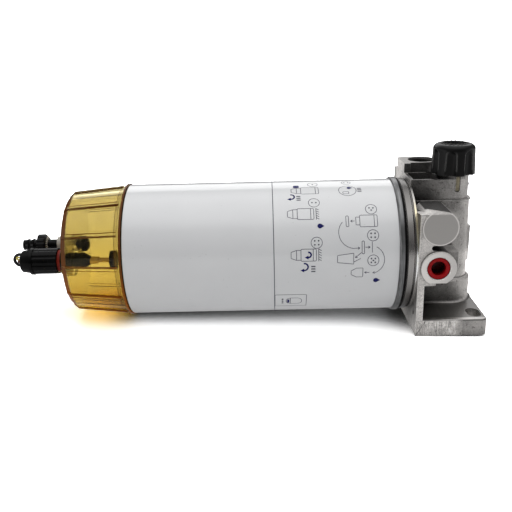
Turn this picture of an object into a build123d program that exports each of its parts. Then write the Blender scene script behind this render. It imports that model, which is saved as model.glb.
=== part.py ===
from build123d import *
from math import radians, tan
import os

# Spin-on fuel filter and water separator on a cast head, lying on its mounting foot.
# Millimetres. X runs along the canister towards the head, Z is up from the mounting face,
# and the origin is midway between the two mounting slots, on the mounting face.

# Places shared by several pieces
canister_radius = 54.0
canister_clearance = 7.0
fit_gap = 0.3
running_gap = 0.06

# Mounting foot of the head
foot_length = 57.0
foot_thickness = 13.5
foot_corner_radius = 4.6
foot_edge_radius = 1.4
slot_width = 11.0
slot_length = 17.5
slot_inset = 14.0
slot_edge_distance = 8.0

# Wall plate and body of the head, heights measured from the canister axis
wall_thickness = 5.3
block_thickness = 14.0
block_bottom_drop = 18.5
block_top_rise = 38.7
block_top_slope = 6.5
notch_rise = 12.1
notch_height = 4.2
notch_inset = 9.5
body_width = 30.0
body_top_rise = 39.5
box_wall_offset = 2.0
rim_rise = 56.5
pocket_depth = 18.0
pocket_wall = 2.2
pocket_rib = 2.0
pocket_length = 20.0
wall_hole_radius = 2.7
wall_hole_rise = 3.4
wall_hole_inset = 11.0

# Tower with the open vertical port
tower_top_rise = 64.0
tower_depth = 37.0
tower_near_y = 16.4
tower_far_y = 44.4
port_x = -31.6
port_y = 33.0
port_wall = 3.2
top_port_radius = 10.2
top_port_depth = 16.0
top_port_chamfer = 1.0
passage_radius = 5.0
rear_boss_radius = 13.6
rear_boss_rise = 39.9
rear_boss_proud = 5.5

# Side bosses, one blank and one drilled
boss_radius = 13.8
boss_offset = 15.4
blank_boss_rise = 28.1
port_boss_drop = 3.9
blank_boss_proud = 0.8
blank_boss_flat_rise = 11.2
blank_boss_corner_radius = 5.0
port_boss_proud = 2.0
port_boss_flat_drop = 12.1
boss_edge_radius = 0.8
side_port_radius = 9.0
side_port_depth = 20.0
side_port_chamfer = 0.7

# Flange that the canister screws against
flange_proud = 0.5
flange_thickness = 5.8
flange_neck_length = 2.7
flange_neck_inset = 1.9
flange_chamfer = 0.9
flange_step_length = 1.4
flange_step_inset = 0.9
inlet_groove_inner_radius = 24.0
inlet_groove_inset = 10.5
inlet_groove_depth = 8.2

# Pump column of the head
pump_x = -12.8
collar_radius = 18.6
collar_height = 20.9
collar_fillet = 2.0
collar_base_fillet = 2.4
column_lower_radius = 15.6
column_upper_radius = 14.4
ledge_radius = 15.4
ledge_height = 2.4
neck_radius = 12.8
neck_rise = 2.3
pad_height = 30.0
pad_width = 8.0
pad_proud = 0.7
mark_radius = 1.3
mark_proud = 0.8
neck_mark_rise = 49.5
collar_mark_drop = 37.0
web_near_y = 34.0
web_right_inset = 0.4
web_top_rise = 6.2
web_bottom_drop = 10.0
drain_groove_width = 5.1
drain_groove_length = 11.0
drain_groove_depth = 1.4
drain_groove_offset = 0.9

# Hand pump inside the column
pump_bore_radius = 10.0
piston_length = 9.0
pump_stroke = 30.0
pump_end_room = 2.4
rod_radius = 4.0
bush_length = 10.0
bush_wall = 0.9
bush_spigot_radius = 8.6
bush_spigot_length = 10.5
seal_section_radius = 1.2
valve_length = 5.0
valve_wall = 2.6
valve_hole_radius = 3.0
rod_chamfer = 0.6

# Fluted knob
knob_radius = 17.6
knob_height = 23.8
knob_gap = 0.4
knob_taper = 0.9
knob_shoulder = 4.4
knob_socket_depth = 12.0
flute_count = 7
flute_turn = 43.8
flute_radius = 4.9
flute_depth = 2.1
flute_head_drop = 7.6
flute_edge_radius = 0.7
knob_recess_radius = 10.2
knob_recess_depth = 2.2
knob_tooth_count = 20
knob_tooth_size = 1.3
knob_tooth_rise = 0.6
rod_socket_depth = 6.5

# Red plug in the side port
plug_wall = 3.4
plug_length = 13.0
plug_inset = 0.6
plug_floor = 2.0
plug_lip = 1.2

# Threaded spigot between head and canister
spigot_radius = 15.0
spigot_bore_radius = 10.5
spigot_in_head = 11.0
spigot_in_canister = 17.0
spigot_chamfer = 1.2

# Canister
canister_length = 213.55
shell_thickness = 0.8
shell_edge_radius = 0.35
seam_proud = 1.6
seam_width = 4.4
seam_depth = 9.2
seam_left_edge_radius = 1.5
seam_right_edge_radius = 0.6
gasket_inset = 0.5
gasket_width = 6.5
gasket_thickness = 3.05
gasket_seat_depth = 1.5
end_plate_thickness = 4.6
plate_collar_wall = 5.0
plate_collar_length = 9.0
inlet_hole_radius = 4.0
inlet_hole_inset = 20.0
inlet_hole_count = 8

# Filter element
element_clearance = 6.2
pleat_depth = 17.0
pleat_count = 36
tube_radius = 22.0
tube_thickness = 1.2
tube_hole_radius = 3.0
tube_hole_rows = 6
tube_holes_per_row = 8
cap_overhang = 2.0
cap_thickness = 3.0
upper_cap_gap = 11.0
lower_cap_gap = 8.0
grommet_radius = 17.0
grommet_wall = 3.0

# Lower thread ring and bowl
thread_ring_length = 14.0
bowl_seal_thickness = 1.6
neck_thread_inset = 3.8
neck_length = 14.0
bowl_wall = 2.6
bowl_lip_proud = 0.8
bowl_lip_width = 1.4
bowl_collar_inset = 0.7
bowl_collar_width = 2.0
bowl_panel_length = 41.0
bowl_panel_inset = 1.5
bowl_panel_taper = 4.1
bowl_bevel = 4.2
bowl_bevel_drop = 2.8
bowl_floor = 3.5
bowl_end_wall = 3.8
bowl_rib_count = 12
bowl_rib_width = 3.0
bowl_rib_proud = 1.7
bowl_rib_root = 1.0
bowl_rib_end_proud = 0.8
fitting_boss_length = 7.6
sensor_boss_radius = 12.6
drain_boss_radius = 8.0

# Water sensor
sensor_y = -13.0
sensor_drop = 5.0
sensor_radius = 10.8
sensor_length = 30.55
sensor_seal_thickness = 3.8
sensor_seal_edge = 0.8
sensor_seal_inset = 1.6
sensor_shank_radius = 6.8
sensor_ridge_setback = 8.0
sensor_ridge_width = 2.4
sensor_ridge_proud = 0.5
sensor_flute_count = 10
sensor_flute_radius = 3.4
sensor_flute_depth = 0.5
sensor_end_inset = 1.9
sensor_end_chamfer = 0.7
sensor_cap_inset = 0.7
probe_length = 6.8
probe_cone_length = 5.4
probe_radius = 6.5
pin_radius = 1.1
pin_spacing = 5.0
pin_length = 16.5
pin_bead_radius = 2.2
pin_bead_length = 6.5
probe_head_radius = 7.6
probe_head_thickness = 4.4
loop_radius = 4.7
loop_tube_radius = 1.3
loop_leg_length = 1.8
loop_rise = 1.5
lead_radius = 0.7
lead_loop_radius = 0.9
lead_leg_length = 3.2
lead_offset = 1.3
lead_rise = 1.7

# Drain valve
drain_y = 13.0
drain_rise = 1.3
drain_radius = 4.4
drain_bore_radius = 1.9
drain_length = 40.5
drain_nut_radius = 6.8
drain_nut_length = 5.0
drain_nut_dome = 3.0
drain_collar_wall = 2.2
drain_collar_length = 10.6
barb_radius = 5.3
barb_length = 2.6
barb_pitch = 4.3
barb_setback = 2.15
wheel_radius = 9.0
wheel_width = 8.4
wheel_gap = 8.4
wheel_groove_count = 12
wheel_groove_radius = 1.5
wheel_chamfer = 1.8

# Sizes that follow the canister's
axis_height = canister_radius + canister_clearance
foot_width = 2 * canister_radius
flange_radius = canister_radius + flange_proud
flange_neck_radius = flange_radius - flange_neck_inset
inlet_groove_outer_radius = canister_radius - inlet_groove_inset
seam_radius = canister_radius + seam_proud
seam_inner_radius = canister_radius - seam_depth
gasket_outer_radius = canister_radius - gasket_inset
gasket_inner_radius = gasket_outer_radius - gasket_width
shell_inner_radius = canister_radius - shell_thickness
inlet_hole_circle = canister_radius - inlet_hole_inset
element_radius = shell_inner_radius - element_clearance
pleat_root_radius = element_radius - pleat_depth
cap_radius = element_radius + cap_overhang
neck_thread_radius = canister_radius - neck_thread_inset
bowl_lip_radius = canister_radius + bowl_lip_proud
bowl_collar_radius = canister_radius - bowl_collar_inset
bowl_panel_top_radius = canister_radius - bowl_panel_inset
bowl_panel_end_radius = bowl_panel_top_radius - bowl_panel_taper
bowl_rim_radius = bowl_panel_end_radius - bowl_bevel_drop
bowl_inner_end_radius = bowl_panel_end_radius - bowl_end_wall
slot_spacing = foot_width - 2 * slot_inset

# Places worked out from the sizes above
head_face_x = slot_edge_distance - foot_length
foot_center_x = slot_edge_distance - foot_length / 2
block_bottom = axis_height - block_bottom_drop
block_top = axis_height + block_top_rise
notch_z = axis_height + notch_rise
block_depth = (foot_width - body_width) / 2
block_back_top = block_top - block_depth * tan(radians(block_top_slope))
body_top = axis_height + body_top_rise
box_near_y = body_width / 2 - box_wall_offset
rim_z = axis_height + rim_rise
tower_top = axis_height + tower_top_rise
boss_x = head_face_x + boss_offset
blank_boss_z = axis_height + blank_boss_rise
port_boss_z = axis_height - port_boss_drop
rear_boss_z = axis_height + rear_boss_rise
flange_back_x = head_face_x - flange_neck_length
flange_face_x = flange_back_x - flange_thickness
column_top = rim_z + neck_rise
pump_bore_bottom = column_top - bush_length - pump_stroke - piston_length - pump_end_room
knob_base = column_top + knob_gap
seam_right_x = flange_face_x - gasket_thickness + gasket_seat_depth
shell_right_x = seam_right_x - seam_width
shell_left_x = shell_right_x - canister_length
end_plate_x = shell_right_x - end_plate_thickness
element_right_x = end_plate_x - upper_cap_gap
bowl_face_x = shell_left_x - bowl_seal_thickness + (shell_edge_radius + fit_gap)
thread_ring_left_x = bowl_face_x + bowl_seal_thickness
thread_ring_right_x = thread_ring_left_x + thread_ring_length
element_left_x = thread_ring_right_x + lower_cap_gap
bowl_lip_x = bowl_face_x - bowl_lip_width
bowl_panel_x = bowl_lip_x - bowl_collar_width
bowl_bevel_x = bowl_panel_x - bowl_panel_length
bowl_end_x = bowl_bevel_x - bowl_bevel
bowl_inside_x = bowl_end_x + bowl_floor
fitting_seat_x = bowl_end_x - fitting_boss_length
sensor_z = axis_height - sensor_drop
sensor_seat_x = fitting_seat_x - sensor_seal_thickness
sensor_end_x = sensor_seat_x - sensor_length
drain_z = axis_height + drain_rise
drain_end_x = fitting_seat_x - drain_length
drain_collar_x = fitting_seat_x - drain_collar_length

# Turned pieces are drawn as a half section, X along the axis and radius up, and revolved
canister_plane = Plane(origin=(0, 0, axis_height), x_dir=(1, 0, 0), z_dir=(0, -1, 0))
canister_axis = Axis((0, 0, axis_height), (1, 0, 0))
sensor_plane = Plane(origin=(0, sensor_y, sensor_z), x_dir=(1, 0, 0), z_dir=(0, -1, 0))
sensor_axis = Axis((0, sensor_y, sensor_z), (1, 0, 0))
drain_plane = Plane(origin=(0, drain_y, drain_z), x_dir=(1, 0, 0), z_dir=(0, -1, 0))
drain_axis = Axis((0, drain_y, drain_z), (1, 0, 0))
pump_plane = Plane(origin=(pump_x, 0, 0), x_dir=(1, 0, 0), z_dir=(0, -1, 0))
pump_axis = Axis((pump_x, 0, 0), (0, 0, 1))


def ring_section(left, right, inner, outer, mode=Mode.ADD):
    """Half section of a plain ring between two places on its axis."""
    with Locations(((left + right) / 2, (inner + outer) / 2)):
        Rectangle(right - left, outer - inner, mode=mode)


def column_section(bottom, top, inner, outer, mode=Mode.ADD):
    """Half section of a plain upright ring between two heights."""
    with Locations(((inner + outer) / 2, (bottom + top) / 2)):
        Rectangle(outer - inner, top - bottom, mode=mode)


# Cast head: foot, wall plate, side bosses, body, open-topped box, tower and pump column
with BuildPart() as filter_head:
    with BuildSketch() as foot_outline:
        with Locations((foot_center_x, 0)):
            Rectangle(foot_length, foot_width)
        fillet(foot_outline.vertices().group_by(Axis.X)[-1], foot_corner_radius)
    extrude(amount=foot_thickness)
    foot_rim = filter_head.faces().sort_by(Axis.Z)[-1].edges().group_by(Axis.X)[1:]
    fillet(foot_rim, foot_edge_radius)

    # Wall plate, with the outline of the box and the tower standing on it
    with BuildSketch(Plane.YZ.offset(head_face_x)):
        with BuildLine():
            Polyline(
                (-foot_width / 2, 0),
                (-foot_width / 2, block_top),
                (-body_width / 2, block_back_top),
                (-body_width / 2, body_top),
                (-box_near_y, body_top),
                (-box_near_y, rim_z),
                (tower_near_y, rim_z),
                (tower_near_y, tower_top),
                (tower_far_y, tower_top),
                (tower_far_y, block_top),
                (foot_width / 2, block_top),
                (foot_width / 2, 0),
                close=True,
            )
        make_face()
    extrude(amount=wall_thickness)

    # Thicker block behind the side bosses, near and far
    with BuildSketch(Plane.YZ.offset(head_face_x)):
        with BuildLine():
            Polyline(
                (-foot_width / 2, block_bottom),
                (-foot_width / 2, block_top),
                (-body_width / 2, block_back_top),
                (-body_width / 2, block_bottom),
                close=True,
            )
        make_face()
        mirror(about=Plane.YZ)
    extrude(amount=block_thickness)

    # Notch with a round end between the upper and the lower boss
    with BuildSketch(Plane.XZ):
        notch_end_x = head_face_x + notch_inset + notch_height / 2
        with Locations((notch_end_x, notch_z)):
            Circle(notch_height / 2)
        with Locations((notch_end_x + block_thickness / 2, notch_z)):
            Rectangle(block_thickness, notch_height)
    extrude(amount=foot_width / 2, both=True, mode=Mode.SUBTRACT)

    # Body under the box, from the wall plate to the pump column
    with BuildSketch(Plane.XY):
        with Locations(((head_face_x + pump_x) / 2, 0)):
            Rectangle(pump_x - head_face_x, body_width)
    extrude(amount=body_top)
    with BuildSketch(Plane.XY.offset(body_top)):
        with Locations(((head_face_x + pump_x) / 2, (tower_near_y - box_near_y) / 2)):
            Rectangle(pump_x - head_face_x, tower_near_y + box_near_y)
    extrude(amount=rim_z - body_top)

    # Side bosses: the upper one blank, the lower one drilled, both cut flat
    with BuildSketch(Plane.XZ.offset(foot_width / 2 + blank_boss_proud)) as blank_outline:
        with Locations((boss_x, blank_boss_z)):
            Circle(boss_radius)
        with Locations((boss_x, blank_boss_z + blank_boss_flat_rise - 2 * boss_radius)):
            Rectangle(4 * boss_radius, 4 * boss_radius, mode=Mode.INTERSECT)
        fillet(blank_outline.vertices().group_by(Axis.Y)[-1], blank_boss_corner_radius)
    extrude(amount=-(foot_width + 2 * blank_boss_proud))
    with BuildSketch(Plane.XZ.offset(foot_width / 2 + port_boss_proud)):
        with Locations((boss_x, port_boss_z)):
            Circle(boss_radius)
        with Locations((boss_x, port_boss_z - port_boss_flat_drop + 2 * boss_radius)):
            Rectangle(4 * boss_radius, 4 * boss_radius, mode=Mode.INTERSECT)
    extrude(amount=-(foot_width + 2 * port_boss_proud))
    for boss_face in (filter_head.faces().sort_by(Axis.Y)[0], filter_head.faces().sort_by(Axis.Y)[-1]):
        fillet(boss_face.edges(), boss_edge_radius)

    # Tower round the vertical port
    tower_radius = top_port_radius + port_wall
    with BuildSketch(Plane.XY.offset(tower_top)):
        with Locations((port_x, port_y)):
            Circle(tower_radius)
        with Locations(((head_face_x + port_x) / 2, port_y)):
            Rectangle(port_x - head_face_x, 2 * tower_radius)
    extrude(amount=-tower_depth)

    # Blank boss on the far side, lower than the tower and squared towards the wall plate
    with BuildSketch(Plane.XZ.offset(-port_y)):
        with Locations((boss_x, rear_boss_z)):
            Circle(rear_boss_radius)
        with Locations(((head_face_x + boss_x) / 2, rear_boss_z)):
            Rectangle(boss_x - head_face_x, 2 * rear_boss_radius)
    extrude(amount=port_y - foot_width / 2 - rear_boss_proud)
    fillet(filter_head.faces().sort_by(Axis.Y)[-1].edges(), boss_edge_radius)

    # Pump column, from the foot up to the neck under the knob
    with BuildSketch(pump_plane):
        with BuildLine():
            Polyline(
                (0, 0),
                (collar_radius, 0),
                (collar_radius, foot_thickness + collar_height - collar_fillet),
                (collar_radius - collar_fillet, foot_thickness + collar_height),
                (column_lower_radius, foot_thickness + collar_height),
                (column_upper_radius, body_top - ledge_height),
                (ledge_radius, body_top - ledge_height / 2),
                (ledge_radius - ledge_height / 4, body_top),
                (neck_radius, body_top),
                (neck_radius, column_top),
                (0, column_top),
                close=True,
            )
        make_face()
        with BuildLine():
            base_outer = (collar_radius + collar_base_fillet, foot_thickness)
            base_inner = (collar_radius, foot_thickness + collar_base_fillet)
            Polyline(base_inner, (collar_radius, foot_thickness), base_outer)
            RadiusArc(base_outer, base_inner, collar_base_fillet)
        make_face()
    revolve(axis=pump_axis)

    # Straight part of the collar, from the column to the wall plate
    collar_top = foot_thickness + collar_height
    with BuildSketch(Plane.YZ.offset(head_face_x)):
        with BuildLine():
            Polyline(
                (0, foot_thickness),
                (collar_radius + collar_base_fillet, foot_thickness),
            )
            RadiusArc(
                (collar_radius + collar_base_fillet, foot_thickness),
                (collar_radius, foot_thickness + collar_base_fillet),
                collar_base_fillet,
            )
            Polyline(
                (collar_radius, foot_thickness + collar_base_fillet),
                (collar_radius, collar_top - collar_fillet),
                (collar_radius - collar_fillet, collar_top),
                (0, collar_top),
                (0, foot_thickness),
            )
        make_face()
        mirror(about=Plane.YZ)
    extrude(amount=pump_x - head_face_x)

    # Raised pad and two ejector marks on the free side of the column, and a web to the lower boss
    pad_reach = column_lower_radius + pad_proud
    with BuildSketch(Plane.XY.offset(axis_height - pad_height / 2)):
        with Locations((pump_x + pad_reach / 2, 0)):
            Rectangle(pad_reach, pad_width)
    extrude(amount=pad_height)
    with BuildSketch(Plane.YZ.offset(pump_x)):
        with Locations((0, axis_height + neck_mark_rise)):
            Circle(mark_radius)
    extrude(amount=neck_radius + mark_proud)
    with BuildSketch(Plane.YZ.offset(pump_x)):
        with Locations((0, axis_height - collar_mark_drop)):
            Circle(mark_radius)
    extrude(amount=collar_radius + mark_proud)
    with BuildSketch(Plane.XZ.offset(web_near_y)):
        web_right_x = pump_x - web_right_inset
        web_middle_z = port_boss_z + (web_top_rise - web_bottom_drop) / 2
        with Locations(((boss_x + web_right_x) / 2, web_middle_z)):
            Rectangle(web_right_x - boss_x, web_top_rise + web_bottom_drop)
    extrude(amount=-web_near_y)

    # Flange with its narrower neck
    with BuildSketch(canister_plane):
        with BuildLine():
            Polyline(
                (head_face_x, 0),
                (head_face_x, flange_radius - flange_step_inset),
                (head_face_x - flange_step_length, flange_radius - flange_step_inset),
                (head_face_x - flange_step_length, flange_neck_radius),
                (flange_back_x, flange_neck_radius),
                (flange_back_x, flange_radius - flange_chamfer),
                (flange_back_x - flange_chamfer, flange_radius),
                (flange_face_x, flange_radius),
                (flange_face_x, 0),
                close=True,
            )
        make_face()
    revolve(axis=canister_axis)

    # Pockets in the top of the box, either side of a thin rib
    pocket_left = head_face_x + pocket_wall
    pocket_near = -box_near_y + pocket_wall
    pocket_far = tower_near_y - pocket_wall
    with BuildSketch(Plane.XY.offset(rim_z)):
        with Locations((pocket_left + pocket_length / 2, (pocket_near + pocket_far) / 2)):
            Rectangle(pocket_length, pocket_far - pocket_near)
    extrude(amount=-pocket_depth, mode=Mode.SUBTRACT)
    rib_right = pocket_left + pocket_length + pocket_rib
    with BuildSketch(Plane.XY.offset(rim_z)):
        with Locations(((rib_right + pump_x) / 2, (pocket_near + pocket_far) / 2)):
            Rectangle(pump_x - rib_right, pocket_far - pocket_near)
        with Locations((pump_x, 0)):
            Circle(neck_radius, mode=Mode.SUBTRACT)
    extrude(amount=-pocket_depth, mode=Mode.SUBTRACT)

    # Small hole low in the wall plate, near and far
    with BuildSketch(Plane.YZ.offset(head_face_x)):
        with GridLocations(foot_width - 2 * wall_hole_inset, 0, 2, 1):
            with Locations((0, foot_thickness + wall_hole_rise)):
                Circle(wall_hole_radius)
    extrude(amount=wall_thickness, mode=Mode.SUBTRACT)

    # Mounting slots
    with BuildSketch():
        with GridLocations(0, slot_spacing, 1, 2):
            SlotOverall(slot_length, slot_width, rotation=90)
    extrude(amount=foot_thickness, mode=Mode.SUBTRACT)

    # Groove down the front of the neck
    with BuildSketch(Plane.XZ.offset(neck_radius - drain_groove_depth)):
        with Locations((pump_x + drain_groove_offset, rim_z)):
            SlotOverall(2 * drain_groove_length, drain_groove_width, rotation=90)
    extrude(amount=2 * drain_groove_depth, mode=Mode.SUBTRACT)

    # Inlet groove, spigot hole and main passage, along the canister axis
    with BuildSketch(canister_plane):
        groove_floor_x = flange_face_x + inlet_groove_depth
        ring_section(flange_face_x, groove_floor_x, inlet_groove_inner_radius, inlet_groove_outer_radius)
        ring_section(flange_face_x, flange_face_x + spigot_in_head, 0, spigot_radius)
        ring_section(flange_face_x, pump_x, 0, passage_radius)
    revolve(axis=canister_axis, mode=Mode.SUBTRACT)

    # Drilled side port with a chamfered mouth and a passage to the middle
    side_port_face = foot_width / 2 + port_boss_proud
    side_port_mouth = side_port_radius + side_port_chamfer
    with BuildSketch(Plane.XZ.offset(side_port_face)):
        with Locations((boss_x, port_boss_z)):
            Circle(side_port_radius)
    extrude(amount=-side_port_depth, mode=Mode.SUBTRACT)
    with BuildSketch(Plane.XZ.offset(side_port_face)):
        with Locations((boss_x, port_boss_z)):
            Circle(side_port_mouth)
    extrude(amount=-side_port_chamfer, taper=45, mode=Mode.SUBTRACT)
    with BuildSketch(Plane.XZ.offset(side_port_face)):
        with Locations((boss_x, port_boss_z)):
            Circle(passage_radius)
    extrude(amount=-side_port_face, mode=Mode.SUBTRACT)

    # Open vertical port and its passage to the inlet groove
    inlet_passage_z = axis_height + passage_radius + spigot_radius
    with BuildSketch(Plane.XY.offset(tower_top)):
        with Locations((port_x, port_y)):
            Circle(top_port_radius)
    extrude(amount=-top_port_depth, mode=Mode.SUBTRACT)
    with BuildSketch(Plane.XY.offset(tower_top)):
        with Locations((port_x, port_y)):
            Circle(top_port_radius + top_port_chamfer)
    extrude(amount=-top_port_chamfer, taper=45, mode=Mode.SUBTRACT)
    with BuildSketch(Plane.XY.offset(tower_top)):
        with Locations((port_x, port_y)):
            Circle(passage_radius)
    extrude(amount=inlet_passage_z - passage_radius - tower_top, mode=Mode.SUBTRACT)
    with BuildSketch(Plane.YZ.offset(flange_face_x)):
        with Locations((port_y, inlet_passage_z)):
            Circle(passage_radius)
    extrude(amount=port_x - flange_face_x, mode=Mode.SUBTRACT)

    # Pump bore: bush seat, cylinder, valve seat and the passage below it
    bush_seat_z = column_top - bush_length
    valve_seat_radius = pump_bore_radius - valve_wall
    with BuildSketch(pump_plane):
        column_section(bush_seat_z, column_top, 0, pump_bore_radius + bush_wall)
        column_section(pump_bore_bottom, bush_seat_z, 0, pump_bore_radius)
        column_section(pump_bore_bottom - valve_length, pump_bore_bottom, 0, valve_seat_radius)
        column_section(axis_height, pump_bore_bottom - valve_length, 0, passage_radius)
    revolve(axis=pump_axis, mode=Mode.SUBTRACT)

# Threaded spigot, screwed into the head and standing into the canister
with BuildPart() as spigot:
    spigot_right_x = flange_face_x + spigot_in_head
    spigot_left_x = flange_face_x - spigot_in_canister
    with BuildSketch(canister_plane):
        ring_section(spigot_left_x, spigot_right_x, spigot_bore_radius, spigot_radius)
    revolve(axis=canister_axis)
    chamfer(spigot.faces().sort_by(Axis.X)[0].edges().sort_by(SortBy.RADIUS)[-1], spigot_chamfer)

# Red transport plug pressed into the side port, hollow from outside
with BuildPart() as port_plug:
    plug_radius = side_port_radius - running_gap
    plug_face = foot_width / 2 + port_boss_proud - plug_inset
    with BuildSketch(Plane.XZ.offset(plug_face)):
        with Locations((boss_x, port_boss_z)):
            Circle(plug_radius)
    extrude(amount=-plug_length)
    with BuildSketch(Plane.XZ.offset(plug_face)):
        with Locations((boss_x, port_boss_z)):
            Circle(plug_radius - plug_wall)
    extrude(amount=plug_floor - plug_length, mode=Mode.SUBTRACT)
    fillet(port_plug.faces().sort_by(Axis.Y)[0].edges(), plug_lip)

# Hand pump: guide bush, piston with its seal, rod, fluted knob and the valve at the bottom
with BuildPart() as pump_bush:
    with BuildSketch(pump_plane):
        column_section(bush_seat_z, column_top, rod_radius + running_gap, pump_bore_radius + bush_wall)
        spigot_top = column_top + bush_spigot_length
        column_section(column_top, spigot_top, rod_radius + running_gap, bush_spigot_radius)
    revolve(axis=pump_axis)

piston_bottom = pump_bore_bottom + fit_gap
piston_top = piston_bottom + piston_length
seal_z = (piston_bottom + piston_top) / 2
with BuildPart() as pump_piston:
    piston_radius = pump_bore_radius - running_gap
    groove_half = seal_section_radius + running_gap
    groove_radius = piston_radius - 2 * seal_section_radius
    with BuildSketch(pump_plane):
        column_section(piston_bottom, piston_top, 0, piston_radius)
        groove_bottom, groove_top = seal_z - groove_half, seal_z + groove_half
        column_section(groove_bottom, groove_top, groove_radius, piston_radius, Mode.SUBTRACT)
    revolve(axis=pump_axis)

with BuildPart() as pump_seal:
    with BuildSketch(pump_plane):
        with Locations((groove_radius + seal_section_radius, seal_z)):
            Circle(seal_section_radius)
    revolve(axis=pump_axis)

rod_top = knob_base + knob_socket_depth + rod_socket_depth
with BuildPart() as pump_rod:
    with BuildSketch(pump_plane):
        column_section(piston_top, rod_top - fit_gap, 0, rod_radius)
    revolve(axis=pump_axis)
    chamfer(pump_rod.faces().sort_by(Axis.Z)[-1].edges(), rod_chamfer)

with BuildPart() as inlet_valve:
    valve_bottom = pump_bore_bottom - valve_length
    with BuildSketch(pump_plane):
        column_section(valve_bottom, pump_bore_bottom, valve_hole_radius, valve_seat_radius)
    revolve(axis=pump_axis)

with BuildPart() as pump_knob:
    knob_top = knob_base + knob_height
    top_radius = knob_radius - knob_taper
    with BuildSketch(pump_plane):
        with BuildLine():
            Polyline(
                (0, knob_base),
                (knob_radius, knob_base),
                (top_radius, knob_top - knob_shoulder),
            )
            RadiusArc(
                (top_radius, knob_top - knob_shoulder),
                (top_radius - knob_shoulder, knob_top),
                -knob_shoulder,
            )
            Polyline((top_radius - knob_shoulder, knob_top), (0, knob_top), (0, knob_base))
        make_face()
    revolve(axis=pump_axis)

    # Flutes, open at the skirt and rounded at the head
    flute_circle = top_radius + flute_radius - flute_depth
    with BuildSketch(Plane(origin=(pump_x, 0, knob_base))):
        with PolarLocations(flute_circle, flute_count, flute_turn):
            Circle(flute_radius)
    extrude(amount=knob_height - flute_head_drop, mode=Mode.SUBTRACT)
    with Locations((pump_x, 0, knob_top - flute_head_drop)):
        with PolarLocations(flute_circle, flute_count, flute_turn):
            Sphere(flute_radius, mode=Mode.SUBTRACT)
    side_edges = pump_knob.edges().filter_by(lambda edge: edge.center().Z > knob_base + fit_gap)
    fillet(side_edges.filter_by(lambda edge: edge.geom_type != GeomType.CIRCLE), flute_edge_radius)

    # Recess on the top, with a ring of teeth that stand a little above it
    with BuildSketch(Plane(origin=(pump_x, 0, knob_top))):
        Circle(knob_recess_radius)
    extrude(amount=-knob_recess_depth, mode=Mode.SUBTRACT)
    with BuildSketch(Plane(origin=(pump_x, 0, knob_top - knob_recess_depth))):
        with PolarLocations(knob_recess_radius, knob_tooth_count):
            Rectangle(knob_tooth_size, knob_tooth_size)
    extrude(amount=knob_recess_depth + knob_tooth_rise)

    # Socket over the bush and the hole for the rod
    with BuildSketch(pump_plane):
        socket_top = knob_base + knob_socket_depth
        column_section(knob_base, socket_top, 0, bush_spigot_radius + 2 * fit_gap)
        column_section(socket_top, rod_top, 0, rod_radius + running_gap)
    revolve(axis=pump_axis, mode=Mode.SUBTRACT)

# Canister: gasket, crimped seam ring, shell, end plate with its thread collar and inlet holes
with BuildPart() as head_gasket:
    with BuildSketch(canister_plane):
        gasket_left_x = flange_face_x - gasket_thickness
        ring_section(gasket_left_x, flange_face_x, gasket_inner_radius, gasket_outer_radius)
    revolve(axis=canister_axis)

with BuildPart() as seam_ring:
    with BuildSketch(canister_plane) as seam_section:
        ring_section(shell_right_x, seam_right_x, seam_inner_radius, seam_radius)
        seam_corners = seam_section.vertices().group_by(Axis.Y)[-1].sort_by(Axis.X)
        fillet(seam_corners[0], seam_left_edge_radius)
        fillet(seam_corners[-1], seam_right_edge_radius)
        seat_inner = gasket_inner_radius - fit_gap
        seat_outer = gasket_outer_radius + fit_gap
        seat_left = seam_right_x - gasket_seat_depth
        with Locations(((seat_left + seam_right_x) / 2, (seat_inner + seat_outer) / 2)):
            Rectangle(gasket_seat_depth, seat_outer - seat_inner, mode=Mode.SUBTRACT)
    revolve(axis=canister_axis)

with BuildPart() as canister_shell:
    with BuildSketch(canister_plane) as shell_section:
        ring_section(shell_left_x, shell_right_x, shell_inner_radius, canister_radius)
        fillet(shell_section.vertices().group_by(Axis.Y)[-1], shell_edge_radius)
    revolve(axis=canister_axis)

with BuildPart() as end_plate:
    collar_inner = spigot_radius + fit_gap
    with BuildSketch(canister_plane):
        ring_section(end_plate_x, shell_right_x, collar_inner, shell_inner_radius)
        ring_section(
            end_plate_x - plate_collar_length, end_plate_x, collar_inner, collar_inner + plate_collar_wall
        )
    revolve(axis=canister_axis)
    with BuildSketch(Plane(origin=(shell_right_x, 0, axis_height), x_dir=(0, 1, 0), z_dir=(1, 0, 0))):
        with PolarLocations(inlet_hole_circle, inlet_hole_count):
            Circle(inlet_hole_radius)
    extrude(amount=-end_plate_thickness, mode=Mode.SUBTRACT)

# Filter element: end caps, pleated pack and perforated centre tube
with BuildPart() as upper_cap:
    with BuildSketch(canister_plane):
        ring_section(element_right_x - cap_thickness, element_right_x, grommet_radius, cap_radius)
        grommet_outer = grommet_radius + grommet_wall
        grommet_end_x = end_plate_x - plate_collar_length
        ring_section(element_right_x, grommet_end_x, grommet_radius, grommet_outer)
    revolve(axis=canister_axis)

with BuildPart() as lower_cap:
    with BuildSketch(canister_plane):
        ring_section(element_left_x, element_left_x + cap_thickness, 0, cap_radius)
        skirt_inner = cap_radius - grommet_wall
        ring_section(thread_ring_right_x, element_left_x, skirt_inner, cap_radius)
    revolve(axis=canister_axis)

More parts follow.
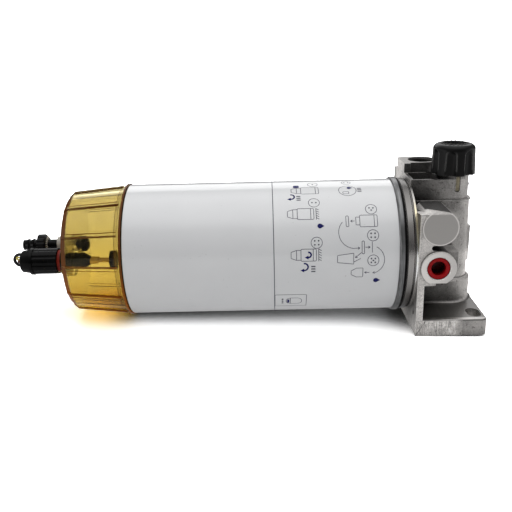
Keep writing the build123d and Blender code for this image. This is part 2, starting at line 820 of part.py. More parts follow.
pack_right_x = element_right_x - cap_thickness
pack_left_x = element_left_x + cap_thickness
with BuildPart() as pleat_pack:
    with BuildSketch(Plane(origin=(pack_left_x, 0, axis_height), x_dir=(0, 1, 0), z_dir=(1, 0, 0))):
        with BuildLine():
            pleat_points = []
            for corner in range(2 * pleat_count):
                reach = element_radius if corner % 2 == 0 else pleat_root_radius
                pleat_points.append(Vector(reach, 0).rotate(Axis.Z, 180 * corner / pleat_count))
            Polyline(*pleat_points, close=True)
        make_face()
        Circle(tube_radius + tube_thickness, mode=Mode.SUBTRACT)
    extrude(amount=pack_right_x - pack_left_x)

with BuildPart() as centre_tube:
    with BuildSketch(canister_plane):
        ring_section(pack_left_x, pack_right_x, tube_radius, tube_radius + tube_thickness)
    revolve(axis=canister_axis)
    row_pitch = (pack_right_x - pack_left_x) / tube_hole_rows
    for row in range(tube_hole_rows):
        row_x = pack_left_x + (row + 0.5) * row_pitch
        for hole in range(tube_holes_per_row // 2):
            drill_angle = 360 * hole / tube_holes_per_row
            with BuildSketch(Plane(origin=(row_x, 0, axis_height)).rotated((drill_angle, 0, 0))):
                Circle(tube_hole_radius)
            extrude(amount=2 * tube_radius, both=True, mode=Mode.SUBTRACT)

# Thread ring at the open end of the canister, and the seal the bowl closes on
with BuildPart() as thread_ring:
    with BuildSketch(canister_plane):
        ring_inner = neck_thread_radius + fit_gap
        ring_section(thread_ring_left_x, thread_ring_right_x, ring_inner, shell_inner_radius)
    revolve(axis=canister_axis)

with BuildPart() as bowl_seal:
    with BuildSketch(canister_plane):
        seal_outer = shell_inner_radius - fit_gap
        ring_section(bowl_face_x, thread_ring_left_x, neck_thread_radius + fit_gap, seal_outer)
    revolve(axis=canister_axis)

# Amber bowl: threaded neck, lip, tapered wall, bevelled end, twelve ribs and two fitting bosses
with BuildPart() as water_bowl:
    neck_right_x = bowl_face_x + neck_length
    with BuildSketch(canister_plane):
        with BuildLine():
            Polyline(
                (neck_right_x, 0),
                (neck_right_x, neck_thread_radius),
                (bowl_face_x, neck_thread_radius),
                (bowl_face_x, bowl_lip_radius),
                (bowl_lip_x, bowl_lip_radius),
                (bowl_lip_x, bowl_collar_radius),
                (bowl_panel_x, bowl_collar_radius),
                (bowl_panel_x, bowl_panel_top_radius),
                (bowl_bevel_x, bowl_panel_end_radius),
                (bowl_end_x, bowl_rim_radius),
                (bowl_end_x, 0),
                close=True,
            )
        make_face()
    revolve(axis=canister_axis)

    # One rib, drawn on the side of the wall and repeated round the axis
    for rib in range(bowl_rib_count):
        with BuildSketch(canister_plane.rotated((360 * rib / bowl_rib_count, 0, 0))):
            with BuildLine():
                Polyline(
                    (bowl_panel_x, bowl_panel_top_radius - bowl_rib_root),
                    (bowl_panel_x, bowl_panel_top_radius + bowl_rib_proud),
                    (bowl_bevel_x, bowl_panel_end_radius + bowl_rib_proud),
                    (bowl_end_x, bowl_rim_radius + bowl_rib_end_proud),
                    (bowl_end_x, bowl_rim_radius - bowl_rib_root),
                    (bowl_bevel_x, bowl_panel_end_radius - bowl_rib_root),
                    close=True,
                )
            make_face()
        extrude(amount=bowl_rib_width / 2, both=True)

    # Bosses for the sensor and the drain valve
    with BuildSketch(sensor_plane):
        ring_section(fitting_seat_x, bowl_inside_x, 0, sensor_boss_radius)
    revolve(axis=sensor_axis)
    with BuildSketch(drain_plane):
        ring_section(fitting_seat_x, bowl_inside_x, 0, drain_boss_radius)
    revolve(axis=drain_axis)

    # Inside, and the two holes through the bosses
    with BuildSketch(canister_plane):
        with BuildLine():
            Polyline(
                (neck_right_x, 0),
                (neck_right_x, neck_thread_radius - bowl_wall),
                (bowl_panel_x, neck_thread_radius - bowl_wall),
                (bowl_inside_x, bowl_inner_end_radius),
                (bowl_inside_x, 0),
                close=True,
            )
        make_face()
    revolve(axis=canister_axis, mode=Mode.SUBTRACT)
    with BuildSketch(sensor_plane):
        ring_section(fitting_seat_x, bowl_inside_x, 0, sensor_shank_radius)
    revolve(axis=sensor_axis, mode=Mode.SUBTRACT)
    with BuildSketch(drain_plane):
        ring_section(fitting_seat_x, bowl_inside_x, 0, drain_radius)
    revolve(axis=drain_axis, mode=Mode.SUBTRACT)

# Water sensor: seal, ridged body with its shank, lead loop, probe, two pins and the probe head
with BuildPart() as sensor_seal:
    with BuildSketch(sensor_plane) as sensor_seal_section:
        sensor_seal_radius = sensor_radius - sensor_seal_inset
        ring_section(sensor_seat_x, fitting_seat_x, sensor_shank_radius, sensor_seal_radius)
        fillet(sensor_seal_section.vertices().group_by(Axis.Y)[-1], sensor_seal_edge)
    revolve(axis=sensor_axis)

with BuildPart() as sensor_body:
    ridge_left = sensor_end_x + sensor_ridge_setback
    ridge_right = ridge_left + sensor_ridge_width
    with BuildSketch(sensor_plane):
        ring_section(ridge_left, sensor_seat_x, 0, sensor_radius)
        ring_section(sensor_seat_x, bowl_inside_x, 0, sensor_shank_radius)
        end_radius = sensor_radius - sensor_end_inset
        with BuildLine():
            Polyline(
                (sensor_end_x, 0),
                (sensor_end_x, end_radius - sensor_end_chamfer),
                (sensor_end_x + sensor_end_chamfer, end_radius),
                (ridge_left, sensor_radius - sensor_cap_inset),
                (ridge_left, 0),
                close=True,
            )
        make_face()
    revolve(axis=sensor_axis)

    # Shallow flutes along the body, then the ridge round it
    sensor_flute_circle = sensor_radius + sensor_flute_radius - sensor_flute_depth
    sensor_end_plane = Plane(
        origin=(sensor_end_x, sensor_y, sensor_z), x_dir=(0, 1, 0), z_dir=(1, 0, 0)
    )
    with BuildSketch(sensor_end_plane):
        with PolarLocations(sensor_flute_circle, sensor_flute_count):
            Circle(sensor_flute_radius)
    extrude(amount=sensor_length, mode=Mode.SUBTRACT)
    with BuildSketch(sensor_plane):
        ring_section(ridge_left, ridge_right, 0, sensor_radius + sensor_ridge_proud)
    revolve(axis=sensor_axis)

# Loops at the end of the sensor: the sleeve, and the two leads inside its bend
loop_sizes = (
    (loop_radius, loop_tube_radius, loop_leg_length, 0, 0),
    (lead_loop_radius, lead_radius, lead_leg_length, -lead_offset, lead_rise),
    (lead_loop_radius, lead_radius, lead_leg_length, lead_offset, -lead_rise),
)
end_loops = []
for loop, tube, leg, offset_y, offset_z in loop_sizes:
    bend_center = (sensor_end_x - leg, sensor_y + offset_y, sensor_z + loop_rise + offset_z)
    with BuildPart() as end_loop:
        with BuildSketch(Plane(origin=bend_center, x_dir=(0, 1, 0), z_dir=(1, 0, 0))):
            with Locations((0, loop)):
                Circle(tube)
        revolve(axis=Axis(bend_center, (0, 1, 0)), revolution_arc=-180)
        with BuildSketch(Plane(origin=bend_center, x_dir=(0, 1, 0), z_dir=(1, 0, 0))):
            with Locations((0, loop), (0, -loop)):
                Circle(tube)
        extrude(amount=leg)
    end_loops.append(end_loop)

with BuildPart() as sensor_probe:
    probe_right_x = bowl_inside_x + probe_length
    cone_right_x = probe_right_x + probe_cone_length
    with BuildSketch(sensor_plane):
        with BuildLine():
            Polyline(
                (bowl_inside_x, 0),
                (bowl_inside_x, probe_radius),
                (probe_right_x, probe_radius),
                (cone_right_x, pin_spacing / 2 + pin_radius),
                (cone_right_x, 0),
                close=True,
            )
        make_face()
    revolve(axis=sensor_axis)

probe_pins = []
for side in (-1, 1):
    with BuildPart() as probe_pin:
        pin_y = sensor_y + side * pin_spacing / 2
        pin_plane = Plane(origin=(0, pin_y, sensor_z), x_dir=(1, 0, 0), z_dir=(0, -1, 0))
        with BuildSketch(pin_plane):
            ring_section(cone_right_x, cone_right_x + pin_length, 0, pin_radius)
            ring_section(cone_right_x, cone_right_x + pin_bead_length, 0, pin_bead_radius)
        revolve(axis=Axis((0, pin_y, sensor_z), (1, 0, 0)))
    probe_pins.append(probe_pin)

with BuildPart() as probe_head:
    head_left_x = cone_right_x + pin_length
    with BuildSketch(sensor_plane):
        ring_section(head_left_x, head_left_x + probe_head_thickness, 0, probe_head_radius)
    revolve(axis=sensor_axis)

# Drain valve: barbed spout with its shank, inner nut, pale collar and grooved thumb wheel
with BuildPart() as drain_spout:
    with BuildSketch(drain_plane):
        ring_section(drain_end_x, bowl_inside_x + drain_nut_length, drain_bore_radius, drain_radius)
        for barb in range(2):
            barb_left = drain_end_x + barb_setback + barb * barb_pitch
            with BuildLine():
                Polyline(
                    (barb_left, drain_bore_radius),
                    (barb_left, drain_radius),
                    (barb_left + barb_length, barb_radius),
                    (barb_left + barb_length, drain_bore_radius),
                    close=True,
                )
            make_face()
    revolve(axis=drain_axis)

with BuildPart() as drain_nut:
    with BuildSketch(Plane(origin=(bowl_inside_x, drain_y, drain_z), x_dir=(0, 1, 0), z_dir=(1, 0, 0))):
        RegularPolygon(drain_nut_radius, 6)
        Circle(drain_radius, mode=Mode.SUBTRACT)
    extrude(amount=drain_nut_length)
    nut_right_x = bowl_inside_x + drain_nut_length
    with BuildSketch(drain_plane):
        with BuildLine():
            Polyline(
                (nut_right_x - drain_nut_dome, 0),
                (bowl_inside_x, 0),
                (bowl_inside_x, drain_nut_radius),
                (nut_right_x - drain_nut_dome, drain_nut_radius),
            )
            nut_dome_center = (nut_right_x - drain_nut_dome, 0)
            EllipticalCenterArc(nut_dome_center, drain_nut_dome, drain_nut_radius, arc_size=90)
            Line((nut_right_x, 0), (nut_right_x - drain_nut_dome, 0))
        make_face()
    revolve(axis=drain_axis, mode=Mode.INTERSECT)

with BuildPart() as drain_collar:
    with BuildSketch(drain_plane):
        ring_section(drain_collar_x, fitting_seat_x, drain_radius, drain_radius + drain_collar_wall)
    revolve(axis=drain_axis)

with BuildPart() as drain_wheel:
    wheel_right_x = drain_collar_x - wheel_gap
    wheel_left_x = wheel_right_x - wheel_width
    wheel_plane = Plane(origin=(wheel_left_x, drain_y, drain_z), x_dir=(0, 1, 0), z_dir=(1, 0, 0))
    with BuildSketch(wheel_plane):
        Circle(wheel_radius)
        with PolarLocations(wheel_radius + wheel_groove_radius / 2, wheel_groove_count):
            Circle(wheel_groove_radius, mode=Mode.SUBTRACT)
    extrude(amount=wheel_width)
    with BuildSketch(drain_plane):
        with Locations((wheel_right_x, wheel_radius)):
            Rectangle(2 * wheel_chamfer, 2 * wheel_chamfer, rotation=45)
    revolve(axis=drain_axis, mode=Mode.SUBTRACT)
    with BuildSketch(wheel_plane):
        Circle(drain_radius + running_gap)
    extrude(amount=wheel_width, mode=Mode.SUBTRACT)

# One STEP file for each piece
pieces = {
    "filter_head": filter_head,
    "spigot": spigot,
    "port_plug": port_plug,
    "pump_bush": pump_bush,
    "pump_piston": pump_piston,
    "pump_seal": pump_seal,
    "pump_rod": pump_rod,
    "inlet_valve": inlet_valve,
    "pump_knob": pump_knob,
    "head_gasket": head_gasket,
    "seam_ring": seam_ring,
    "canister_shell": canister_shell,
    "end_plate": end_plate,
    "upper_cap": upper_cap,
    "lower_cap": lower_cap,
    "pleat_pack": pleat_pack,
    "centre_tube": centre_tube,
    "thread_ring": thread_ring,
    "bowl_seal": bowl_seal,
    "water_bowl": water_bowl,
    "sensor_seal": sensor_seal,
    "sensor_body": sensor_body,
    "sensor_sleeve": end_loops[0],
    "sensor_lead_1": end_loops[1],
    "sensor_lead_2": end_loops[2],
    "sensor_probe": sensor_probe,
    "probe_pin_1": probe_pins[0],
    "probe_pin_2": probe_pins[1],
    "probe_head": probe_head,
    "drain_spout": drain_spout,
    "drain_nut": drain_nut,
    "drain_collar": drain_collar,
    "drain_wheel": drain_wheel,
}
os.makedirs("parts", exist_ok=True)
for name, piece in pieces.items():
    piece.part.label = name
    export_step(piece.part, f"parts/{name}.step")
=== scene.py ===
import math
import bmesh
import bpy
from mathutils import Matrix, Vector


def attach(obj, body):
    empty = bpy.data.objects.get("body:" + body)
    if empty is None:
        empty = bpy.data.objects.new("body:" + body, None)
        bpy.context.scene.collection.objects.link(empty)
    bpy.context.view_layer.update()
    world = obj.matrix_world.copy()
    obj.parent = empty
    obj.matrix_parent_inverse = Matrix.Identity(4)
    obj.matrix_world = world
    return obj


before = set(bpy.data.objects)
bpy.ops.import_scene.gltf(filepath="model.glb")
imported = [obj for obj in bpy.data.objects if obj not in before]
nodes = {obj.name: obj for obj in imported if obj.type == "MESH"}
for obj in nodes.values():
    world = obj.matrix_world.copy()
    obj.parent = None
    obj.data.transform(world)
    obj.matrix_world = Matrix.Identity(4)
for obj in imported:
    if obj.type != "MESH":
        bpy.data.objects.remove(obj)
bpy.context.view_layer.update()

mm = 0.001
print("stage: frame loaded,", len(nodes), "CAD nodes")

# Can: the height of its axis and its radius, as the CAD has them
can = {"axisHeight": 61.0 * mm, "radius": 54.0 * mm}


# Camera: where the photograph was taken from, with its angles in radians
shot = {
    "place": (-166.03 * mm, -559.15 * mm, 240.76 * mm),
    "lens": 48.94,
    "sensor": 36,
    "clip": (0.01, 50),
    "pitch": 0.3255,  # downwards
    "yaw": -0.01518,
    "roll": -0.0267,
}


def addCamera(look):
    bpy.ops.object.camera_add(location=look["place"])
    camera = bpy.context.object
    camera.name = "photo_camera"
    camera.data.lens = look["lens"]
    camera.data.sensor_width = look["sensor"]
    camera.data.clip_start, camera.data.clip_end = look["clip"]
    pitch, yaw, roll = look["pitch"], look["yaw"], look["roll"]
    ahead = Vector((math.sin(yaw) * math.cos(pitch), math.cos(yaw) * math.cos(pitch), -math.sin(pitch)))
    level = Vector((math.cos(yaw), -math.sin(yaw), 0))
    upright = level.cross(ahead)
    right = math.cos(roll) * level + math.sin(roll) * upright
    up = math.cos(roll) * upright - math.sin(roll) * level
    turn = Matrix((right, up, -ahead)).transposed()
    camera.matrix_world = Matrix.Translation(look["place"]) @ turn.to_4x4()
    bpy.context.scene.camera = camera


addCamera(shot)
bpy.context.scene.view_settings.view_transform = "Standard"
bpy.context.scene.view_settings.look = "None"


# A value on its way through a material: a sum written on it becomes a Math node
class Wire:
    def __init__(self, finish, socket):
        self.finish, self.socket = finish, socket

    def math(self, operation, *others):
        return self.finish.add("Math", {"operation": operation}, dict(enumerate((self, *others))))

    def __add__(self, other):
        return self.math("ADD", other)

    def __sub__(self, other):
        return self.math("SUBTRACT", other)

    def __rsub__(self, other):
        return self.finish.add("Math", {"operation": "SUBTRACT"}, {0: other, 1: self})

    def __mul__(self, other):
        return self.math("MULTIPLY", other)

    def __truediv__(self, other):
        return self.math("DIVIDE", other)

    def __rtruediv__(self, other):
        return self.finish.add("Math", {"operation": "DIVIDE"}, {0: other, 1: self})

    def __abs__(self):
        return self.math("ABSOLUTE")

    __radd__ = __add__
    __rmul__ = __mul__


# One material, built round its own Principled shader
class Finish:
    def __init__(self, name, constants):
        self.material = bpy.data.materials.new(name)
        self.material.use_nodes = True
        self.tree = self.material.node_tree
        self.shader = self.tree.nodes["Principled BSDF"]
        for socket, value in constants.items():
            self.shader.inputs[socket].default_value = value

    # Any node: its settings first, then the values or wires of its sockets
    def add(self, kind, settings=None, sockets=None, out=0):
        node = self.tree.nodes.new("ShaderNode" + kind)
        for setting, value in (settings or {}).items():
            setattr(node, setting, value)
        for socket, value in (sockets or {}).items():
            self.feed(node.inputs[socket], value)
        return Wire(self, node.outputs[out])

    def feed(self, socket, value):
        if isinstance(value, Wire):
            self.tree.links.new(value.socket, socket)
        else:
            socket.default_value = value

    # A Mix node has sockets for each kind of data under the same names: its colours are 6, 7 and 2
    def mix(self, factor, first, second, blend="MIX"):
        settings = {"data_type": "RGBA", "blend_type": blend}
        return self.add("Mix", settings, {0: factor, 6: first, 7: second}, out=2)

    def grey(self, factor, dark, light):
        return self.mix(factor, (*dark, 1), (*light, 1))

    def scale(self, colour, factor):
        return self.add("VectorMath", {"operation": "SCALE"}, {0: colour, "Scale": factor})

    def place(self):
        return self.add("TexCoord", out="Object")

    def normal(self):
        return self.add("NewGeometry", out="Normal")

    def axes(self, vector):
        return [self.add("SeparateXYZ", None, {0: vector}, out=axis) for axis in "XYZ"]

    def join(self, x, y, z):
        return self.add("CombineXYZ", None, {"X": x, "Y": y, "Z": z})

    def noise(self, vector, scale, detail, roughness):
        sockets = {"Vector": vector, "Scale": scale, "Detail": detail, "Roughness": roughness}
        return self.add("TexNoise", {"noise_dimensions": "3D"}, sockets)

    # Soft step from 0 at low to 1 at high
    def step(self, value, low, high):
        sockets = {"Value": value, "From Min": low, "From Max": high}
        return self.add("MapRange", {"interpolation_type": "SMOOTHSTEP"}, sockets)

    # 1 on an open face, and less in a hollow
    def unshaded(self, reach, samples=6):
        return self.add("AmbientOcclusion", {"samples": samples}, {"Distance": reach}, out="AO")

    # 0 on a flat face, and more along an edge
    def bend(self, radius):
        softened = self.add("Bevel", {"samples": 6}, {"Radius": radius})
        sockets = {0: softened, 1: self.normal()}
        return 1 - self.add("VectorMath", {"operation": "DOT_PRODUCT"}, sockets, out="Value")

    # 1 where the camera sees the surface, straight or through the bowl, and 0 where it only lights
    def seenBy(self):
        straight = self.add("LightPath", out="Is Camera Ray")
        return straight.math("MAXIMUM", self.add("LightPath", out="Is Transmission Ray"))

    def bump(self, height, distance, strength):
        return self.add("Bump", None, {"Height": height, "Distance": distance, "Strength": strength})

    def wear(self, **outputs):
        for socket, value in outputs.items():
            self.feed(self.shader.inputs[socket.replace("_", " ")], value)
        return self.material


# Length of the diagonal over two sides
def diagonal(across, up):
    return (across * across + up * up).math("SQRT")


# One value laid over another, where the mask is 1
def over(mask, value, under):
    return mask * value + (1 - mask) * under


def dress(names, material):
    for name in names:
        node = nodes[name]
        node.data.materials.clear()
        node.data.materials.append(material)


# Cast aluminium of the head: sandy skin, machined faces and a sawn foot
castSkin = {
    "cast": (0.40, 0.385, 0.372), "roughness": 0.5, "roughDrift": 0.14, "turnedBelow": 0.38,
    "grainScale": 900, "grainHeight": 0.22 * mm, "patchScale": 60, "mottle": (0.34, 0.66),
    "pitScale": 420, "pits": (0.62, 0.74), "pitTone": 0.45, "pitDepth": 0.5,
    # edges lightened partly by wear and partly as a painted highlight, and painted shade in hollows
    "edgeRadius": 0.5 * mm, "edgeBend": (0.015, 0.09), "edgeOpen": (0.45, 0.7), "edgeTone": 0.55,
    "hollowReach": 22 * mm, "hollow": (0.15, 0.8), "hollowTone": 0.06,
    # bosses: their centres, the rings that a lathe left, and a painted highlight round the rim of the blank
    # one
    "bossX": -33.6 * mm, "blankZ": 89.1 * mm, "portZ": 57.1 * mm, "ringScale": 9000, "ringTone": 0.12,
    "rimReach": 13.3 * mm, "rimWidth": (0.55 * mm, 0.3 * mm), "rimHighlight": 0.7,
    "rimTop": (99.4 * mm, 99.8 * mm), "rimTopHighlight": 0.4, "rimLow": (74 * mm, 75 * mm),
    "rimFace": (-54.3 * mm, -54.6 * mm),
    # front of the foot: top and ragged right end of the sawn part, and the mitre line at its left
    "sawnTop": (13.0 * mm, 12.4 * mm), "sawnEnd": (-11.6 * mm, -12.4 * mm), "ragged": 9 * mm,
    "raggedScale": 260, "strokeScale": 1500, "strokeLean": 0.12, "strokeTone": (0.36, 0.62),
    "strokeDepth": 1.6, "mitreX": -49 * mm, "mitreSlope": 0.62, "mitreWidth": (0.45 * mm, 0.1 * mm),
    "mitreTone": 0.6,
    # top of the block: a painted shadow behind a slanting line, between two heights and as far as the body
    "slantSlope": -0.802, "slant": (72.6 * mm, 71.0 * mm), "slantLow": (93 * mm, 94 * mm),
    "slantHigh": (101 * mm, 100.4 * mm), "slantBack": (-15.2 * mm, -16 * mm), "slantTone": 0.9,
    # yellow of the painted highlight on the step of the flange
    "yellowGlint": (1, 0.93, 0.68, 1), "glintLeft": (-50.7 * mm, -50.3 * mm), "glintRight": (-48.7 * mm, -49.1 * mm),
    "glintLow": (56 * mm, 66 * mm), "glintHigh": (108 * mm, 98 * mm),
}

# Its patches, each laid over those before it. A patch has the side it faces, its x, y and z ranges in
# millimetres, the tone of its metal from the left end to the right end (from the bottom to the top where
# it runs in z) and its roughness. The tones are mostly painted light and shade (lit and shaded sides,
# painted shadows, painted reflections and painted highlights) laid over the metal's own finish. Soft is the
# blur of its ends in millimetres, open is the least light that its hollows keep, and metal is how metallic
# it is. A patch with less roughness than turnedBelow is machined, and has no grain.
patchDefaults = {"run": "x", "soft": 0.2, "open": 0.0, "metal": 1.0}
castPatches = {
    # column, column low, rim, collar and collar right: painted light from the right, darker at the left and
    # lighter at the right
    "column": {"faces": "any", "x": (-33, 6), "y": (-20, 20), "z": (34, 100),
               "tone": (1.0, 1.15), "rough": 0.5},
    # painted shade beside the blank boss
    "column mid": {"faces": "any", "x": (-10, -3), "y": (-20, 0), "z": (58, 96),
                   "tone": (0.8, 0.8), "rough": 0.5, "soft": 3},
    "pad": {"faces": "any", "x": (2.95, 6), "y": (-4.3, 4.3), "z": (45.5, 76.5),
            "tone": (0.22, 0.22), "rough": 0.6, "open": 0.9},
    "column low": {"faces": "any", "x": (-6, 6), "y": (-20, 20), "z": (34, 56),
                   "tone": (1.2, 2.8), "rough": 0.5, "soft": 4},
    "shoulder": {"faces": "any", "x": (-52, -8), "y": (-50, 20), "z": (90, 112),
                 "tone": (0.6, 0.62), "rough": 0.5, "soft": 5},
    "rim": {"faces": "any", "x": (-52, 2), "y": (-20, 10), "z": (100, 122),
            "tone": (0.18, 0.9), "rough": 0.4, "soft": 0.5},
    # painted shadow under the knob
    "under knob": {"faces": "any", "x": (-31, -5), "y": (-16, 16), "z": (117, 122),
                   "tone": (0.05, 0.5), "rough": 0.4},
    "collar": {"faces": "any", "x": (-44, -4), "y": (-25, 25), "z": (13, 34),
               "tone": (0.24, 0.7), "rough": 0.5},
    "collar right": {"faces": "any", "x": (-13, 6), "y": (-25, 25), "z": (13, 34),
                     "tone": (0.8, 1.6), "rough": 0.5, "soft": 2.5},
    "collar top": {"faces": "up", "x": (-30, 6), "y": (-25, 25), "z": (33, 35),
                   "tone": (0.6, 0.9), "rough": 0.5},
    "collar foot": {"faces": "slope", "x": (-44, 10), "y": (-25, 25), "z": (13.4, 16.4),
                    "tone": (0.3, 1.0), "rough": 0.4},
    "wall edge": {"faces": "front", "x": (-50, -43), "y": (-55, -53), "z": (13, 43),
                  "tone": (1.7, 1.8), "rough": 0.5},
    # foot top: painted reflection; foot lip: painted highlight along the lip
    "foot top": {"faces": "up", "x": (-44, 9), "y": (-55, 55), "z": (13, 14),
                 "tone": (0.75, 0.42), "rough": 0.34},
    "foot lip": {"faces": "up", "x": (-44, 9), "y": (-55, -49.4), "z": (13, 14),
                 "tone": (2.2, 1.2), "rough": 0.3, "soft": 0.8},
    "foot rim": {"faces": "slope", "x": (-44, 10), "y": (-56, 56), "z": (11.8, 13.6),
                 "tone": (0.35, 0.25), "rough": 0.35, "open": 0.8, "metal": 0.6},
    "sawn": {"faces": "front", "x": (-50, -12), "y": (-55, -53), "z": (0, 13),
             "tone": (1.5, 2.1), "rough": 0.5},
    "foot front": {"faces": "front", "x": (-16, 9), "y": (-55, -53), "z": (0, 13),
                   "tone": (1.15, 0.95), "rough": 0.5, "soft": 2},
    "slot": {"faces": "any", "x": (-12, 9), "y": (-52, 52), "z": (-1, 13.2),
             "tone": (0.5, 2.2), "rough": 0.4, "open": 0.8},
    # painted light, lighter at the bottom of the flank
    "flank": {"faces": "left", "x": (-50, -48), "y": (-55, 55), "z": (0, 24),
              "tone": (2.4, 0.75), "run": "z", "rough": 0.5, "open": 0.5},
    "block front": {"faces": "front", "x": (-50, -30), "y": (-55, -53), "z": (43, 99),
                    "tone": (1.65, 1.2), "rough": 0.5},
    "blank face": {"faces": "front", "x": (-50, -15), "y": (-58, -54.4), "z": (74, 101),
                   "tone": (0.9, 0.9), "rough": 0.3},
    "port face": {"faces": "front", "x": (-50, -15), "y": (-58, -55.4), "z": (40, 73),
                  "tone": (2.05, 1.5), "rough": 0.35},
    # painted highlight round the rims of the bosses
    "boss rims": {"faces": "edge", "x": (-50, -15), "y": (-58, -53.8), "z": (40, 101),
                  "tone": (1.7, 1.7), "rough": 0.4, "open": 0.8, "metal": 0.2},
    "block top": {"faces": "upper", "x": (-50, -15), "y": (-56, -16), "z": (90, 101),
                  "tone": (1.7, 1.3), "rough": 0.5, "open": 0.95, "metal": 0.1},
    "ledge": {"faces": "up", "x": (-44, 5), "y": (-18, 5), "z": (99.8, 104),
              "tone": (0.95, 0.95), "rough": 0.4, "open": 0.9, "metal": 0.2},
    # painted shade in the notch
    "notch": {"faces": "any", "x": (-41, -19), "y": (-53, -14), "z": (68, 76.5),
              "tone": (0.0, 0.45), "rough": 0.6, "soft": 0.6, "metal": 0.4},
    "web": {"faces": "front", "x": (-33, -10), "y": (-35, -33), "z": (44, 64),
            "tone": (0.7, 0.7), "rough": 0.5},
    "web top": {"faces": "up", "x": (-28, -10), "y": (-34.2, -15), "z": (63, 64),
                "tone": (1.1, 1.1), "rough": 0.5, "open": 0.8, "metal": 0.2},
    # pocket, port hole and tower front: painted shade; tower left: painted light; port chamfer: painted shade
    "pocket": {"faces": "any", "x": (-47, -14), "y": (-12, 15), "z": (97, 117.3),
               "tone": (0.8, 0.8), "rough": 0.5, "open": 0.3},
    "port hole": {"faces": "any", "x": (-48, -18), "y": (24, 44.2), "z": (100, 123.8),
                  "tone": (0.36, 0.5), "rough": 0.4},
    "tower front": {"faces": "front", "x": (-50, -15), "y": (10, 25), "z": (100, 126),
                    "tone": (0.18, 0.5), "rough": 0.4, "open": 0.7, "metal": 0.4},
    "tower left": {"faces": "left", "x": (-50, -48), "y": (-20, 50), "z": (95, 126),
                   "tone": (2.0, 1.9), "rough": 0.5},
    "port chamfer": {"faces": "slope", "x": (-45, -18), "y": (33, 46), "z": (123.5, 125.2),
                     "tone": (0.08, 0.08), "rough": 0.5},
    "groove": {"faces": "any", "x": (-12.7, -9.8), "y": (-17, -5), "z": (107.2, 120),
               "tone": (0.5, 0.75), "rough": 0.4, "soft": 0.5},
    "tower top": {"faces": "up", "x": (-50, -15), "y": (10, 50), "z": (124, 126),
                  "tone": (0.8, 0.7), "rough": 0.4},
    # flange low and high: painted reflections, brightest halfway up; step low and high: painted highlight on
    # the step; flange edge: painted shade on its chamfer
    "flange low": {"faces": "round", "x": (-58, -50.5), "y": (-60, 60), "z": (0, 70),
                   "tone": (0.1, 0.9), "run": "z", "rough": 0.27},
    "flange high": {"faces": "round", "x": (-58, -50.5), "y": (-60, 60), "z": (70, 120),
                    "tone": (0.9, 0.3), "run": "z", "rough": 0.27},
    "step low": {"faces": "round", "x": (-50.5, -48.9), "y": (-60, 60), "z": (0, 62),
                 "tone": (2.2, 3.0), "run": "z", "rough": 0.25, "open": 0.5},
    "flange edge": {"faces": "any", "x": (-58, -56.8), "y": (-60, 60), "z": (0, 120),
                    "tone": (0.03, 0.03), "rough": 0.6},
    "step high": {"faces": "round", "x": (-50.5, -48.9), "y": (-60, 60), "z": (62, 120),
                  "tone": (4.8, 0.3), "run": "z", "rough": 0.25, "open": 0.5},
}


